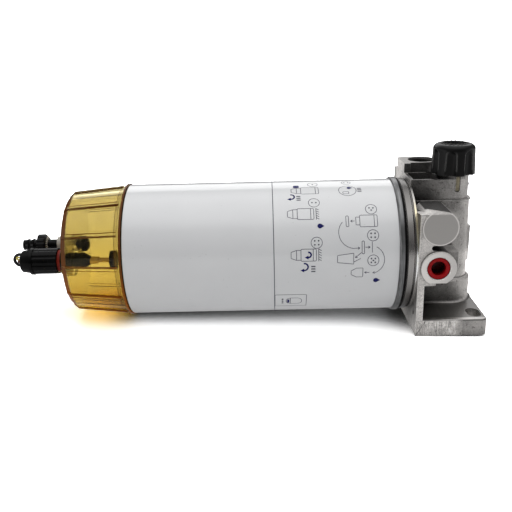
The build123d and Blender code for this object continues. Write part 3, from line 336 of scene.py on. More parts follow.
def castAluminium(look, patches):
    f = Finish("cast_aluminium", {"IOR": 1.5})
    spot = f.place()
    x, y, z = f.axes(spot)
    nx, ny, nz = f.axes(f.normal())
    grain = f.noise(spot, look["grainScale"], 4.0, 0.7)
    patch = f.noise(spot, look["patchScale"], 4.0, 0.6)
    pits = f.step(f.noise(spot, look["pitScale"], 2.0, 0.5), *look["pits"])

    facing = {
        "any": 1.0,
        "up": f.step(nz, 0.8, 0.9),
        "upper": f.step(nz, 0.35, 0.6),
        "slope": f.step(nz, 0.15, 0.3) * f.step(nz, 0.93, 0.86),
        "front": f.step(ny, -0.8, -0.9),
        "edge": f.step(ny, -0.2, -0.35) * f.step(ny, -0.97, -0.9),
        "left": f.step(nx, -0.8, -0.9),
        "round": f.step(abs(nx), 0.6, 0.4),
    }
    axes = {"x": x, "y": y, "z": z}
    tone, rough, turned, opened, metal, masks = 1.0, look["roughness"], 0.0, 0.0, 1.0, {}
    for name in patches:
        area = {**patchDefaults, **patches[name]}
        mask = facing[area["faces"]]
        soft = area["soft"] * mm
        for axis, value in axes.items():
            low, high = (edge * mm for edge in area[axis])
            mask = f.step(value, low - soft, low + soft) * mask
            mask = f.step(value, high + soft, high - soft) * mask
        start, end = (edge * mm for edge in area[area["run"]])
        first, last = area["tone"]
        along = f.step(axes[area["run"]], start, end)
        tone = over(mask, along * (last - first) + first, tone)
        rough = over(mask, area["rough"], rough)
        opened = over(mask, area["open"], opened)
        metal = over(mask, area["metal"], metal)
        if area["rough"] < look["turnedBelow"]:
            turned = over(mask, 1, turned)
        masks[name] = mask

    # Fine rings on the bosses, and a painted highlight round the rim of the blank one
    blank = diagonal(x - look["bossX"], z - look["blankZ"])
    port = diagonal(x - look["bossX"], z - look["portZ"])
    rings = (blank.math("MINIMUM", port) * look["ringScale"]).math("SINE") * 0.5 + 0.5
    rim = f.step(abs(blank - look["rimReach"]), *look["rimWidth"])
    rim = rim.math("MAXIMUM", f.step(z, *look["rimTop"]) * look["rimTopHighlight"]) * facing["front"]
    rim = rim * f.step(y, *look["rimFace"]) * f.step(z, *look["rimLow"])

    # Front of the foot: sawn in upright strokes over its left part, with a ragged end
    ragged = f.noise(f.join(z, z, z), look["raggedScale"], 2.0, 0.5) * look["ragged"]
    sawn = facing["front"] * f.step(z, *look["sawnTop"]) * f.step(x + ragged, *look["sawnEnd"])
    strokes = f.noise(f.join(x + z * look["strokeLean"], y, z * 0.1), look["strokeScale"], 3.0, 0.75)
    mitre = f.step(abs(x - look["mitreX"] - z * look["mitreSlope"]), *look["mitreWidth"]) * facing["front"]

    # Top of the block: a painted shadow behind a slanting line
    slantShadow = f.step(x * look["slantSlope"] - y, *look["slant"]) * facing["up"]
    slantShadow = slantShadow * f.step(z, *look["slantLow"]) * f.step(z, *look["slantHigh"])
    slantShadow = slantShadow * f.step(y, *look["slantBack"])

    # Edges are lightened, partly by wear and partly as a painted highlight, and hollows get painted shade
    unshaded = f.unshaded(look["hollowReach"], samples=8)
    lightened = f.step(f.bend(look["edgeRadius"]), *look["edgeBend"]) * f.step(unshaded, *look["edgeOpen"])
    lightened = lightened * (1 - masks["notch"])
    hollow = f.step(unshaded, *look["hollow"]).math("MAXIMUM", opened)

    mottle = f.step(grain * 0.55 + patch * 0.45, *look["mottle"]) * 0.7 + 0.65
    mottle = over(turned, 1, mottle * (1 - pits * look["pitTone"]))
    streak = f.step(strokes, *look["strokeTone"]) * 0.75 + 0.62
    tone = tone * (1 - slantShadow * look["slantTone"]) * mottle * over(sawn, streak, 1)
    tone = tone * (1 + turned * (rings - 0.5) * look["ringTone"]) * (1 - mitre * sawn * look["mitreTone"])
    tone = tone * (hollow * (1 - look["hollowTone"]) + look["hollowTone"])
    tone = tone + lightened * look["edgeTone"] + rim * look["rimHighlight"]
    colour = f.scale(look["cast"], tone)

    # Painted yellow highlight on the step of the flange, also laid in the groove
    yellowGlint = f.step(x, *look["glintLeft"]) * f.step(x, *look["glintRight"]) * facing["round"]
    yellowGlint = yellowGlint * f.step(z, *look["glintLow"]) * f.step(z, *look["glintHigh"])
    colour = f.mix(yellowGlint.math("MAXIMUM", masks["groove"]), colour, look["yellowGlint"], "MULTIPLY")

    rough = rough + look["roughDrift"] * (f.step(grain, 0.35, 0.65) - 0.5) * (1 - turned) - lightened * 0.1
    relief = grain * (1 - turned * 0.94) - pits * look["pitDepth"] * (1 - turned)
    relief = relief + sawn * strokes * look["strokeDepth"] + turned * rings * 0.02
    normal = f.bump(relief, look["grainHeight"], 0.9)
    return f.wear(Base_Color=colour, Metallic=metal, Roughness=rough, Normal=normal)


# White paint on the can: high gloss with a faint ripple and a few specks of dust
paint = {
    "gloss": {"IOR": 1.5, "Coat Weight": 0.6, "Coat Roughness": 0.06}, "roughness": 0.2,
    "dark": (0.735, 0.742, 0.755), "light": (0.765, 0.772, 0.782), "mottleScale": 14,
    "dust": (0.42, 0.42, 0.43, 1), "dustScale": 520, "dustShare": (0.77, 0.8), "dustTone": 0.35,
    "rippleScale": 90, "rippleHeight": 0.04 * mm,
}


def whitePaint(look):
    f = Finish("white_paint", look["gloss"])
    spot = f.place()
    ripple = f.noise(spot, look["rippleScale"], 2.0, 0.5)
    mottle = f.noise(spot, look["mottleScale"], 3.0, 0.6)
    specks = f.step(f.noise(spot, look["dustScale"], 1.0, 0.4), *look["dustShare"])
    colour = f.grey(f.step(mottle, 0.3, 0.7), look["dark"], look["light"])
    colour = f.mix(specks * look["dustTone"], colour, look["dust"])
    normal = f.bump(ripple, look["rippleHeight"], 0.5)
    return f.wear(Base_Color=colour, Roughness=look["roughness"] + mottle * 0.08, Normal=normal)


# Drawn metals: fine lines round the axis, and clouds. The seam ring has a painted shade on its rounded right
# edge, against the black gasket.
drawn = {"lineScale": 90, "across": 26, "round": 0.6, "cloudScale": 45, "height": 0.06 * mm}
metals = {
    "seam_steel": {
        "on": ["seam_ring"], "dark": (0.10, 0.101, 0.103), "light": (0.25, 0.252, 0.256),
        "roughness": 0.3, "shadedEnd": (-59.75 * mm, -59.55 * mm), "endShade": (0.003, 0.003, 0.003, 1),
    },
    "plate_steel": {
        "on": ["end_plate", "thread_ring"], "dark": (0.36, 0.36, 0.36), "light": (0.56, 0.56, 0.55),
        "roughness": 0.36,
    },
    "zinc_steel": {
        "on": ["spigot", "pump_rod"], "dark": (0.5, 0.49, 0.46), "light": (0.7, 0.69, 0.65),
        "roughness": 0.3,
    },
    "brass": {
        "on": ["probe_pin_1", "probe_pin_2"], "dark": (0.5, 0.34, 0.12), "light": (0.75, 0.56, 0.25),
        "roughness": 0.3,
    },
}


def drawnMetal(name, look):
    f = Finish(name, {"Metallic": 1.0})
    spot = f.place()
    x, y, z = f.axes(spot)
    stretched = f.join(x * drawn["across"], y * drawn["round"], z * drawn["round"])
    lines = f.noise(stretched, drawn["lineScale"], 4.0, 0.7)
    cloud = f.noise(spot, drawn["cloudScale"], 3.0, 0.6)
    colour = f.grey(f.step(lines * 0.6 + cloud * 0.4, 0.35, 0.65), look["dark"], look["light"])
    # Painted shade on the seam ring's right edge
    if "shadedEnd" in look:
        colour = f.mix(f.step(x, *look["shadedEnd"]), colour, look["endShade"])
    rough = look["roughness"] + 0.14 * f.step(cloud, 0.35, 0.65)
    return f.wear(Base_Color=colour, Roughness=rough, Normal=f.bump(lines, drawn["height"], 0.6))


# Rubbers: matt, with a faint bloom
bloomed = {"bloomScale": 130, "grainScale": 1500, "height": 0.05 * mm, "shine": 0.2}
rubbers = {
    "black_rubber": {
        "on": ["head_gasket", "bowl_seal", "pump_seal"], "dark": (0.002, 0.002, 0.002),
        "light": (0.006, 0.006, 0.006), "roughness": 0.62,
    },
    "sleeve_rubber": {
        "on": ["sensor_sleeve"], "dark": (0.010, 0.010, 0.011), "light": (0.035, 0.035, 0.035),
        "roughness": 0.4,
    },
    "red_rubber": {
        "on": ["sensor_seal"], "dark": (0.20, 0.012, 0.004), "light": (0.34, 0.028, 0.01),
        "roughness": 0.5,
    },
}


def rubber(name, look):
    f = Finish(name, {"IOR": 1.5, "Specular IOR Level": bloomed["shine"]})
    spot = f.place()
    bloom = f.noise(spot, bloomed["bloomScale"], 4.0, 0.65)
    grain = f.noise(spot, bloomed["grainScale"], 2.0, 0.5)
    colour = f.grey(f.step(bloom, 0.35, 0.7), look["dark"], look["light"])
    normal = f.bump(grain, bloomed["height"], 0.6)
    return f.wear(Base_Color=colour, Roughness=look["roughness"] + bloom * 0.12, Normal=normal)


# Moulded plastics: fine skin, small drift of colour, a roughness that varies with it, and painted shade in
# their hollows
moulded = {
    "driftScale": 60, "grainScale": 1800, "height": 0.03 * mm, "hollowReach": 12 * mm, "hollow": (0.1, 0.6),
}
plastics = {
    "red_plastic": {
        "on": ["port_plug"], "dark": (0.26, 0.002, 0.004), "light": (0.36, 0.004, 0.007),
        "roughness": 0.24, "shine": 0.15,
    },
    "black_plastic": {
        "on": ["sensor_body", "sensor_probe", "probe_head", "drain_spout", "drain_nut", "pump_bush",
               "pump_piston", "inlet_valve"],
        "dark": (0.0015, 0.0015, 0.0016), "light": (0.003, 0.003, 0.003), "roughness": 0.2, "shine": 0.09,
    },
    "collar_plastic": {
        "on": ["drain_collar"], "dark": (0.27, 0.24, 0.20), "light": (0.46, 0.43, 0.38),
        "roughness": 0.45, "shine": 0.5,
    },
    "pale_plastic": {
        "on": ["upper_cap", "lower_cap", "centre_tube"], "dark": (0.58, 0.57, 0.53),
        "light": (0.72, 0.71, 0.68), "roughness": 0.5, "shine": 0.5,
    },
    "yellow_plastic": {
        "on": ["sensor_lead_1"], "dark": (0.55, 0.43, 0.04), "light": (0.75, 0.62, 0.10),
        "roughness": 0.35, "shine": 0.5,
    },
    "lead_plastic": {
        "on": ["sensor_lead_2"], "dark": (0.45, 0.02, 0.02), "light": (0.6, 0.05, 0.04),
        "roughness": 0.35, "shine": 0.5,
    },
}


# The skin that every moulded piece has: its place, the drift of its colour and its grain
def mouldedSkin(f):
    spot = f.place()
    drift = f.noise(spot, moulded["driftScale"], 3.0, 0.6)
    grain = f.noise(spot, moulded["grainScale"], 2.0, 0.6)
    return spot, drift, grain


def plastic(name, look):
    f = Finish(name, {"IOR": 1.5, "Specular IOR Level": look["shine"]})
    spot, drift, grain = mouldedSkin(f)
    colour = f.grey(f.step(drift, 0.3, 0.7), look["dark"], look["light"])
    # Painted shade: darker in hollows
    unshaded = f.step(f.unshaded(moulded["hollowReach"]), *moulded["hollow"])
    colour = f.scale(colour, unshaded * 0.95 + 0.05)
    rough = look["roughness"] + 0.1 * f.step(drift, 0.35, 0.65)
    return f.wear(Base_Color=colour, Roughness=rough, Normal=f.bump(grain, moulded["height"], 0.7))


# Knob of the pump: near black, with painted highlights along its flutes and round the rim of its top
knobSkin = {
    "dark": (0.002, 0.002, 0.002), "light": (0.004, 0.0037, 0.0037), "shine": 0.16, "roughness": 0.27,
    "fluteGlint": (0.13, 0.128, 0.125), "edgeRadius": 1.6 * mm, "edgeBend": (0.002, 0.03),
    "edgeOpen": (0.5, 0.8), "low": (123.0 * mm, 125.0 * mm), "high": (140.0 * mm, 138.0 * mm),
    "axisX": -12.8 * mm, "crown": (11.2 * mm, 10.6 * mm), "crownBend": (0.01, 0.1), "height": 0.04 * mm,
}


def knobPlastic(look):
    f = Finish("knob_plastic", {"IOR": 1.5, "Specular IOR Level": look["shine"]})
    spot, drift, grain = mouldedSkin(f)
    x, y, z = f.axes(spot)
    bend = f.bend(look["edgeRadius"])
    flutes = f.step(bend, *look["edgeBend"]) * (0.6 + drift * 0.6)
    flutes = flutes * f.step(f.unshaded(moulded["hollowReach"]), *look["edgeOpen"])
    flutes = flutes * f.step(z, *look["low"]) * f.step(z, *look["high"])
    crown = f.step(diagonal(x - look["axisX"], y), *look["crown"]) * f.step(bend, *look["crownBend"])
    colour = f.grey(f.step(drift, 0.3, 0.7), look["dark"], look["light"])
    colour = f.mix(flutes + crown, colour, (*look["fluteGlint"], 1))
    normal = f.bump(grain, look["height"], 0.7)
    return f.wear(Base_Color=colour, Roughness=look["roughness"] + drift * 0.12, Normal=normal)


# Thumb wheel of the drain: black, with pale teeth laid on its face towards the bowl
wheelSkin = {
    "dark": (0.004, 0.004, 0.004), "light": (0.009, 0.009, 0.009), "shine": 0.15, "roughness": 0.3,
    "lightened": (0.95, 0.86, 0.72, 1), "paleScale": 1400, "axisY": 13 * mm, "axisZ": 62.3 * mm, "teeth": 26,
    "face": (-354.2 * mm, -353.6 * mm), "height": 0.03 * mm,
}


def wheelPlastic(look):
    f = Finish("wheel_plastic", {"IOR": 1.5, "Specular IOR Level": look["shine"]})
    spot = f.place()
    x, y, z = f.axes(spot)
    drift = f.noise(spot, moulded["driftScale"], 3.0, 0.6)
    # Noise that breaks up the pale teeth and bumps the face
    wear = f.noise(spot, look["paleScale"], 3.0, 0.7)
    turn = (z - look["axisZ"]).math("ARCTAN2", y - look["axisY"])
    teeth = f.step((turn * look["teeth"]).math("SINE"), -0.3, 0.5)
    towardsBowl = f.axes(f.normal())[0]
    face = f.step(towardsBowl, 0.3, 0.7) * f.step(x, *look["face"])
    colour = f.grey(f.step(drift, 0.3, 0.7), look["dark"], look["light"])
    colour = f.mix(face * teeth * f.step(wear, 0.3, 0.6), colour, look["lightened"])
    normal = f.bump(wear, look["height"], 0.7)
    return f.wear(Base_Color=colour, Roughness=look["roughness"] + drift * 0.15, Normal=normal)


# Clear amber of the bowl: lighter above than below, with a painted brown darkening on its edges and rib
# lines, seen only by the camera.
# The places of the lip, collar and bevel are along the can's axis, and the ribs stand round it.
amber = {
    "high": (0.505, 0.435, 0.215), "low": (0.595, 0.47, 0.155), "rise": (25 * mm, 75 * mm),
    "flowScale": 110, "flowStretch": 0.5, "rippleScale": 70, "rippleHeight": 0.06 * mm,
    "brown": (0.12, 0.044, 0.014), "orange": (0.32, 0.095, 0.012), "olive": (0.17, 0.095, 0.016, 1),
    "edgeRoughness": 0.25, "edgeShine": 0.05, "outside": (43.5 * mm, 45.0 * mm),
    "lip": (-280.1 * mm, -279.7 * mm), "collar": (-283.4 * mm, -282.6 * mm), "collarTone": 0.3,
    "bevel": (-321.6 * mm, -323.0 * mm), "flankTone": 0.45,
    "ribTurn": math.pi / 12, "ribHalf": 1.5 * mm, "ribLine": (0.8 * mm, 0.45 * mm),
    "ribEnd": (-281.0 * mm, -281.6 * mm), "seamX": -283.3 * mm, "seam": (0.7 * mm, 0.3 * mm),
    "seamTone": 0.55,
}


def amberPlastic(look):
    f = Finish("amber_plastic", {"IOR": 1.24, "Transmission Weight": 1.0})
    spot = f.place()
    x, y, z = f.axes(spot)
    nx, ny, nz = f.axes(f.normal())
    flow = f.noise(f.join(x * look["flowStretch"], y, z), look["flowScale"], 3.0, 0.6)
    ripple = f.noise(spot, look["rippleScale"], 2.0, 0.5)
    height = f.step(z, *look["rise"])
    tint = f.scale(f.grey(height, look["low"], look["high"]), f.step(flow, 0.3, 0.7) * 0.05 + 0.95)

    # Painted darkening, seen only by the camera: bevel, lip, flanks, collar and the two lines along every rib
    up = z - can["axisHeight"]
    reach = diagonal(y, up)
    outward = (ny * y + nz * up) / reach
    outside = f.step(reach, *look["outside"])
    edge = (f.step(x, *look["bevel"]) * outside).math("MAXIMUM", f.step(x, *look["lip"]))
    flanks = f.step(abs(outward), 0.6, 0.4) * outside * f.step(abs(nx), 0.8, 0.6)
    collar = f.step(x, *look["collar"]) * outside
    turn = up.math("ARCTAN2", y).math("WRAP", look["ribTurn"], -look["ribTurn"])
    lines = f.step(abs(abs(turn * reach) - look["ribHalf"]), *look["ribLine"]) * outside
    lines = lines * f.step(x, *look["ribEnd"]) * (f.step(flow, 0.35, 0.6) * 0.2 + 0.75)
    seam = f.step(abs(x - look["seamX"]), *look["seam"]) * outside
    lines = lines.math("MAXIMUM", seam * look["seamTone"])
    paintedEdges = edge.math("MAXIMUM", flanks * look["flankTone"]).math("MAXIMUM", lines)
    paintedEdges = paintedEdges.math("MAXIMUM", collar * look["collarTone"]) * f.add("LightPath", out="Is Camera Ray")

    # A second, opaque brown shader is painted there
    brown = f.grey(height, look["orange"], look["brown"])
    solid = f.add("BsdfPrincipled", None, {
        "Base Color": f.mix(edge.math("MAXIMUM", lines), look["olive"], brown),
        "Roughness": look["edgeRoughness"], "Specular IOR Level": look["edgeShine"],
    })
    blend = f.add("MixShader", None, {0: paintedEdges, 1: Wire(f, f.shader.outputs[0]), 2: solid})
    f.feed(f.tree.nodes["Material Output"].inputs["Surface"], blend)
    normal = f.bump(ripple, look["rippleHeight"], 0.5)
    return f.wear(Base_Color=tint, Roughness=0.01 + flow * 0.04, Normal=normal)


# Pleated filter paper
paper = {"dark": (0.56, 0.47, 0.30), "light": (0.78, 0.70, 0.52), "fibreScale": 1400, "cloudScale": 70,
         "height": 0.1 * mm, "roughness": 0.85, "shine": 0.2}


def filterPaper(look):
    f = Finish("filter_media", {"IOR": 1.4, "Specular IOR Level": look["shine"]})
    spot = f.place()
    fibre = f.noise(spot, look["fibreScale"], 5.0, 0.75)
    cloud = f.noise(spot, look["cloudScale"], 3.0, 0.6)
    colour = f.grey(f.step(fibre * 0.5 + cloud * 0.5, 0.35, 0.65), look["dark"], look["light"])
    normal = f.bump(fibre, look["height"], 0.8)
    return f.wear(Base_Color=colour, Roughness=look["roughness"] + fibre * 0.1, Normal=normal)


dress(["filter_head"], castAluminium(castSkin, castPatches))
dress(["canister_shell"], whitePaint(paint))
for name, look in metals.items():
    dress(look["on"], drawnMetal(name, look))
for name, look in rubbers.items():
    dress(look["on"], rubber(name, look))
for name, look in plastics.items():
    dress(look["on"], plastic(name, look))
dress(["pump_knob"], knobPlastic(knobSkin))
dress(["drain_wheel"], wheelPlastic(wheelSkin))
dress(["water_bowl"], amberPlastic(amber))
dress(["pleat_pack"], filterPaper(paper))
print("stage: CAD nodes dressed")


# Print on the can: every mark lies flat first, x along the can and s down round it, in millimetres,
# with s 0 where the can faces the camera. It is then wrapped onto the paint.
mark = {
    "lineWidth": 0.46, "boldWidth": 1.25, "lift": 0.05, "sink": 0.06, "step": 1.0,
    "facing": math.radians(18.65), "bandX": -159.9, "bandWidth": 0.6, "bandSides": 256,
    "badge": 4.3, "pipGap": 1.5, "pip": 0.62, "arrowHead": 1.5, "cornerPoints": 4,
}
inkLines = {"thin": [], "bold": []}
inkShapes = {"grey": [], "navy": []}


def stroke(points, closed=False, weight="thin"):
    inkLines[weight].append((points, closed))


def fill(points, colour="navy"):
    inkShapes[colour].append(points)


# Points along an arc, with its two ends in degrees
def arc(x, s, radius, start, end, count=24):
    turn = [math.radians(start + (end - start) * n / count) for n in range(count + 1)]
    return [(x + radius * math.cos(a), s + radius * math.sin(a)) for a in turn]


def ring(x, s, radius, count):
    return arc(x, s, radius, 0, 360, count)[:-1]


# Points of a frame with rounded corners
def rounded(left, top, right, bottom, corner):
    points = []
    for x, s, start in (
        (right - corner, top + corner, -90), (right - corner, bottom - corner, 0),
        (left + corner, bottom - corner, 90), (left + corner, top + corner, 180),
    ):
        points += arc(x, s, corner, start, start + 90, mark["cornerPoints"])
    return points


# Ring with small pips in it, as on a die
def badge(x, s, pips, radius=mark["badge"]):
    stroke(ring(x, s, radius, 40), True)
    gap = mark["pipGap"]
    corners = [(-gap, -gap), (gap, -gap), (-gap, gap), (gap, gap)]
    places = {
        1: [(0, 0)], 2: [(-gap, 0), (gap, 0)], 3: [(-gap, -1), (0, 1), (gap, -1)],
        4: corners, 5: [*corners, (0, 0)],
    }
    for dx, ds in places[pips]:
        fill(ring(x + dx, s + ds, mark["pip"], 12), "grey")


# Straight arrow from one place to another
def arrow(x, s, toX, toS):
    stroke([(x, s), (toX, toS)])
    head = mark["arrowHead"]
    along = Vector((toX - x, toS - s)).normalized()
    across = Vector((-along.y, along.x))
    tip = Vector((toX, toS))
    sides = [tip - along * head + across * head * side * 0.6 for side in (-1, 1)]
    stroke([tuple(sides[0]), tuple(tip), tuple(sides[1])])


# Lying can with a lid band at its right, and a cup and a small cone at its left
def canSign(left, right, s, half, withCup=True):
    lid, cup, cone = right - 2.4, left - 3.4, left - 7.6
    stroke(rounded(left, s - half, right, s + half, 1.0), True)
    stroke([(lid, s - half), (lid, s + half)])
    if withCup:
        mouth, waist = half * 0.82, half * 0.5
        stroke([(left, s - mouth), (cup, s - mouth), (cup, s + mouth), (left, s + mouth)])
        stroke([(cup, s - mouth), (cone, s - waist), (cone, s + waist), (cup, s + mouth)])


# Upright line with short slanting ticks at its right
def hatch(x, s, half, count=5):
    tickX, tickS = 2.2, 1.2
    stroke([(x, s - half), (x, s + half)])
    for n in range(count):
        start = s - half + 2 * half * (n + 0.2) / count
        stroke([(x, start), (x + tickX, start + tickS)])


# Drop with its point at the right
def drop(x, s, size):
    bulb = arc(x - size * 0.3, s, size, 50, 310, 20)
    fill([*bulb, (x + size * 1.5, s)])


# Bold arc with an arrow head at its end
def turnSign(x, s, size):
    curve = arc(x, s, size, -100, 100, 16)
    stroke(curve, weight="bold")
    tipX, tipS = curve[-1]
    fill([(tipX + 0.2, tipS - 1.5), (tipX - 2.6, tipS + 0.1), (tipX + 0.3, tipS + 1.6)])


# Short bars, one under another
def bars(x, s, count):
    half, pitch, thick = 1.6, 2.1, 0.8
    for n in range(count):
        top = s + n * pitch
        fill([(x - half, top), (x + half, top), (x + half, top + thick), (x - half, top + thick)], "grey")


# Upper row near the middle of the can
badge(-127.4, -59.5, 1, 3.9)
canSign(-137.4, -123.4, -49.2, 4.7)
fill(rounded(-143.2, -57.6, -138.6, -53.4, 1.2))
turnSign(-145.4, -41.2, 2.6)
bars(-139.6, -42.0, 3)
badge(-100.2, -62.0, 2, 3.6)
stroke(ring(-100.4, -48.2, 6.9, 48), True)
stroke(rounded(-104.2, -46.4, -99.6, -43.6, 0.6), True)
drop(-98.6, -51.6, 1.5)
bars(-91.0, -51.0, 3)

# Middle rows
badge(-127.8, -34.4, 2)
canSign(-141.2, -128.4, -24.0, 4.8)
hatch(-126.6, -23.9, 5.0)
drop(-123.6, -13.6, 1.9)
badge(-84.0, -27.0, 3)
canSign(-93.4, -79.9, -17.0, 4.8, withCup=False)
stroke([(-93.4, -20.2), (-96.4, -20.2), (-96.4, -13.8), (-93.4, -13.8)])
arrow(-97.4, -17.0, -100.6, -17.0)
stroke(rounded(-104.0, -21.4, -102.0, -12.6, 0.8), True)
stroke(arc(-97.6, -8.0, 12.4, -138, -262, 28))
arrow(-99.3, 4.3, -94.0, 4.2)
badge(-127.0, -0.6, 4)
canSign(-139.2, -127.4, 8.8, 4.7)
hatch(-125.6, 8.8, 4.9)
turnSign(-133.4, 8.6, 2.0)
turnSign(-136.6, 18.2, 2.8)
bars(-129.8, 17.4, 3)
badge(-83.8, -5.4, 4)
stroke(rounded(-92.4, -1.2, -90.6, 8.6, 0.8), True)
arrow(-89.8, 3.6, -86.2, 3.6)
stroke([(-84.6, -0.6), (-84.6, 7.8)])
stroke(arc(-86.6, 13.6, 11.4, -62, 62))
arrow(-81.2, 23.7, -84.0, 24.2)
badge(-83.8, 14.0, 5)
stroke([(-111.2, 9.6), (-98.8, 8.0), (-98.8, 16.6), (-111.2, 15.2)], True)
stroke([(-98.8, 15.0), (-93.4, 12.2)])
arrow(-92.8, 7.6, -97.6, 11.6)
stroke([(-91.6, 20.0), (-91.6, 27.6), (-96.6, 27.6), (-100.6, 25.4), (-100.6, 22.2), (-96.6, 20.0)], True)
arrow(-86.6, 23.8, -90.4, 23.8)
drop(-80.8, 30.8, 1.9)

# Small framed sign low on the can, by the line
stroke(rounded(-159.6, 44.6, -134.6, 62.4, 1.0), True)
stroke(rounded(-150.6, 49.0, -138.4, 57.8, 3.6), True)
stroke([(-147.4, 49.0), (-147.4, 57.8)])
fill(rounded(-149.9, 51.0, -148.2, 56.0, 0.5))
for n in range(3):
    fill(ring(-153.6, 50.4 + n * 2.9, 0.8, 12), "grey")


# The same outline with a point every step, so that it can bend round the can
def spread(points, closed, step):
    if closed:
        points = [*points, points[0]]
    out = [points[0]]
    for (x, s), (toX, toS) in zip(points, points[1:]):
        count = max(1, math.ceil(math.hypot(toX - x, toS - s) / step))
        out += [(x + (toX - x) * n / count, s + (toS - s) * n / count) for n in range(1, count + 1)]
    return out[:-1] if closed else out


def wrapOnCan(mesh):
    for vertex in mesh.vertices:
        along, down, lift = vertex.co
        angle = mark["facing"] - down / can["radius"]
        reach = can["radius"] + lift
        vertex.co = (along, -reach * math.cos(angle), can["axisHeight"] + reach * math.sin(angle))


def finishInk(piece, material):
    bpy.ops.object.mode_set(mode="EDIT")
    bpy.ops.mesh.select_all(action="SELECT")
    bpy.ops.mesh.normals_make_consistent(inside=False)
    bpy.ops.object.mode_set(mode="OBJECT")
    piece.data.materials.clear()
    piece.data.materials.append(material)
    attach(piece, "canister")


# Flat ink gets its thickness: it stands a little proud of the paint and sinks into it
def thicken(piece):
    wall = piece.modifiers.new("ink", "SOLIDIFY")
    wall.thickness, wall.offset = (mark["lift"] + mark["sink"]) * mm, -1
    bpy.ops.object.modifier_apply(modifier="ink")


def inkStrokes(name, lines, width, material):
    half = width * mm / 2
    curve = bpy.data.curves.new(name, "CURVE")
    curve.dimensions = "3D"
    curve.bevel_depth, curve.bevel_resolution = half, 1
    curve.use_fill_caps = True
    for points, closed in lines:
        run = spread(points, closed, mark["step"])
        spline = curve.splines.new("POLY")
        spline.points.add(len(run) - 1)
        for point, (x, s) in zip(spline.points, run):
            point.co = (x * mm, s * mm, 0, 1)
        spline.use_cyclic_u = closed
    piece = bpy.data.objects.new(name, curve)
    bpy.context.collection.objects.link(piece)
    bpy.ops.object.select_all(action="DESELECT")
    piece.select_set(True)
    bpy.context.view_layer.objects.active = piece
    bpy.ops.object.convert(target="MESH")
    for vertex in piece.data.vertices:
        vertex.co.z = vertex.co.z / half * mark["lift"] * mm
    wrapOnCan(piece.data)
    finishInk(piece, material)


def inkFills(name, shapes, material):
    bpy.ops.object.select_all(action="DESELECT")
    bpy.ops.mesh.primitive_plane_add(size=1 * mm)
    piece = bpy.context.object
    piece.name = name
    flat = bmesh.new()
    for outline in shapes:
        run = spread(outline, True, mark["step"])
        corners = [flat.verts.new((x * mm, s * mm, mark["lift"] * mm)) for x, s in run]
        flat.faces.new(corners)
    bmesh.ops.triangulate(flat, faces=flat.faces[:])
    flat.to_mesh(piece.data)
    flat.free()
    wrapOnCan(piece.data)
    thicken(piece)
    finishInk(piece, material)


# Line round the can at the edge of the printed field
def inkBand(name, material):
    bpy.ops.object.select_all(action="DESELECT")
    bpy.ops.mesh.primitive_cylinder_add(
        vertices=mark["bandSides"], radius=can["radius"] + mark["lift"] * mm, depth=mark["bandWidth"] * mm,
        end_fill_type="NOTHING", location=(mark["bandX"] * mm, 0, can["axisHeight"]),
        rotation=(0, math.pi / 2, 0),
    )
    band = bpy.context.object
    band.name = name
    bpy.ops.object.transform_apply(location=True, rotation=True, scale=True)
    thicken(band)
    finishInk(band, material)


# Printing ink: thin and nearly matt, a little uneven
inkSkin = {
    "gloss": {"IOR": 1.5, "Specular IOR Level": 0.12, "Coat Weight": 0.08, "Coat Roughness": 0.08},
    "patchScale": 900, "roughness": 0.3,
}
inks = {
    "grey_ink": {"dark": (0.05, 0.05, 0.075), "light": (0.085, 0.085, 0.12)},
    "navy_ink": {"dark": (0.006, 0.007, 0.085), "light": (0.014, 0.015, 0.13)},
}


def ink(name, look):
    f = Finish(name, inkSkin["gloss"])
    patch = f.noise(f.place(), inkSkin["patchScale"], 3.0, 0.6)
    colour = f.grey(f.step(patch, 0.3, 0.7), look["dark"], look["light"])
    return f.wear(Base_Color=colour, Roughness=inkSkin["roughness"] + patch * 0.15)


greyInk, navyInk = (ink(name, look) for name, look in inks.items())
inkStrokes("print_lines", inkLines["thin"], mark["lineWidth"], greyInk)
inkStrokes("print_turns", inkLines["bold"], mark["boldWidth"], navyInk)
inkFills("print_pips", inkShapes["grey"], greyInk)
inkFills("print_shapes", inkShapes["navy"], navyInk)
inkBand("print_band", greyInk)
print("stage: print on the can done")


# Floor: it goes through the lower edge of the foot and touches the rim of the bowl, so it leans by the
# bowl's height over the distance between them. It is white where it is open, with a painted shadow close
# under the object and a painted pool of amber light under the bowl. It also glows faintly as a fill light,
# unseen by the camera.
floor = {
    "lean": math.atan2(6.2, 228.95), "through": (-49.0 * mm, 0, 0), "size": 30.0,
    "seen": 2.3, "lit": (0.5, 0.5, 0.5, 1), "glow": (0.28, 0.28, 0.28), "shadeReach": 0.25,
    "shade": (0.02, 0.32), "bowl": (-225 * mm, -270 * mm), "amber": (2.75, 2.05, 0.86),
    "amberShade": (-0.05, 0.62),
}


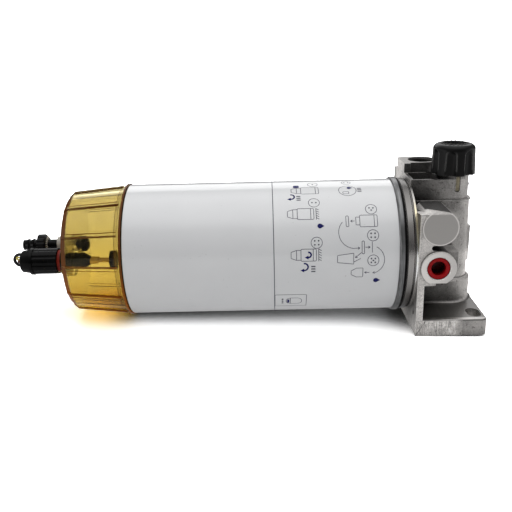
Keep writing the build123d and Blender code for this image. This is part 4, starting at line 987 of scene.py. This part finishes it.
def addFloor(look):
    bpy.ops.object.select_all(action="DESELECT")
    turn = (0, look["lean"], 0)
    bpy.ops.mesh.primitive_plane_add(size=look["size"], location=look["through"], rotation=turn)
    ground = bpy.context.object
    ground.name = "floor"
    f = Finish("floor_white", {"Roughness": 1.0, "Specular IOR Level": 0.0, "Emission Strength": 1.0})
    seenBy = f.seenBy()
    hidden = f.unshaded(look["shadeReach"], samples=16)
    black, white = (0, 0, 0), (1, 1, 1)
    # Painted shadow close under the object, and a painted pool of amber light under the bowl
    paintedShadow = f.grey(f.step(hidden, *look["shade"]), black, white)
    paintedAmber = f.grey(f.step(hidden, *look["amberShade"]), look["amber"], white)
    underBowl = f.step(f.axes(f.place())[0], *look["bowl"])
    seen = f.scale(f.mix(underBowl, paintedShadow, paintedAmber), look["seen"])
    base = f.mix(seenBy, look["lit"], seen)
    material = f.wear(Base_Color=base, Emission_Color=f.grey(seenBy, look["glow"], black))
    ground.data.materials.append(material)


addFloor(floor)

# Light: a low box behind, two slim ones at the sides, and a pale room that is bright overhead. The places
# and sizes of the boxes are in metres.
boxes = {
    "back_box": {"place": (-0.16, 0.9, 0.6), "aim": (-0.16, 0.0, 0.05), "size": (1.3, 0.5), "watts": 3.1},
    "left_box": {"place": (-1.3, -0.6, 0.2), "aim": (-0.1, 0.0, 0.1), "size": (0.16, 0.5), "watts": 1.5},
    "right_box": {"place": (1.0, -0.45, 0.2), "aim": (0.0, 0.0, 0.1), "size": (0.14, 0.5), "watts": 0.9},
}
room = {
    "horizon": 0.02, "sky": 0.51, "skyRise": (0.0, 0.9), "top": 1.3, "topRise": (0.7, 0.95),
    "side": 1.2, "sideRise": (0.86, 0.96), "seen": 1.1,
}


def addBox(name, look):
    bpy.ops.object.light_add(type="AREA", location=look["place"])
    lamp = bpy.context.object
    lamp.name = name
    lamp.data.shape = "RECTANGLE"
    lamp.data.size, lamp.data.size_y = look["size"]
    lamp.data.energy = look["watts"]
    aim = Vector(look["aim"]) - Vector(look["place"])
    lamp.rotation_mode = "QUATERNION"
    lamp.rotation_quaternion = aim.to_track_quat("-Z", "Y")
    lamp.visible_camera = False


# A world has no Principled shader, so this one is built round its Background in the same way
class Room(Finish):
    def __init__(self, name):
        self.material = bpy.data.worlds.new(name)
        self.material.use_nodes = True
        self.tree = self.material.node_tree
        self.shader = self.tree.nodes["Background"]
        self.shader.inputs["Color"].default_value = (1, 1, 1, 1)


def addRoom(look):
    f = Room("room")
    across, _, up = f.axes(f.add("TexCoord", out="Generated"))
    sky = f.step(up, *look["skyRise"]) * look["sky"] + f.step(up, *look["topRise"]) * look["top"]
    sky = sky + f.step(abs(across), *look["sideRise"]) * look["side"]
    f.wear(Strength=over(f.seenBy(), look["seen"], sky + look["horizon"]))
    bpy.context.scene.world = f.material


for name, look in boxes.items():
    addBox(name, look)
addRoom(room)
print("stage: floor and light done")
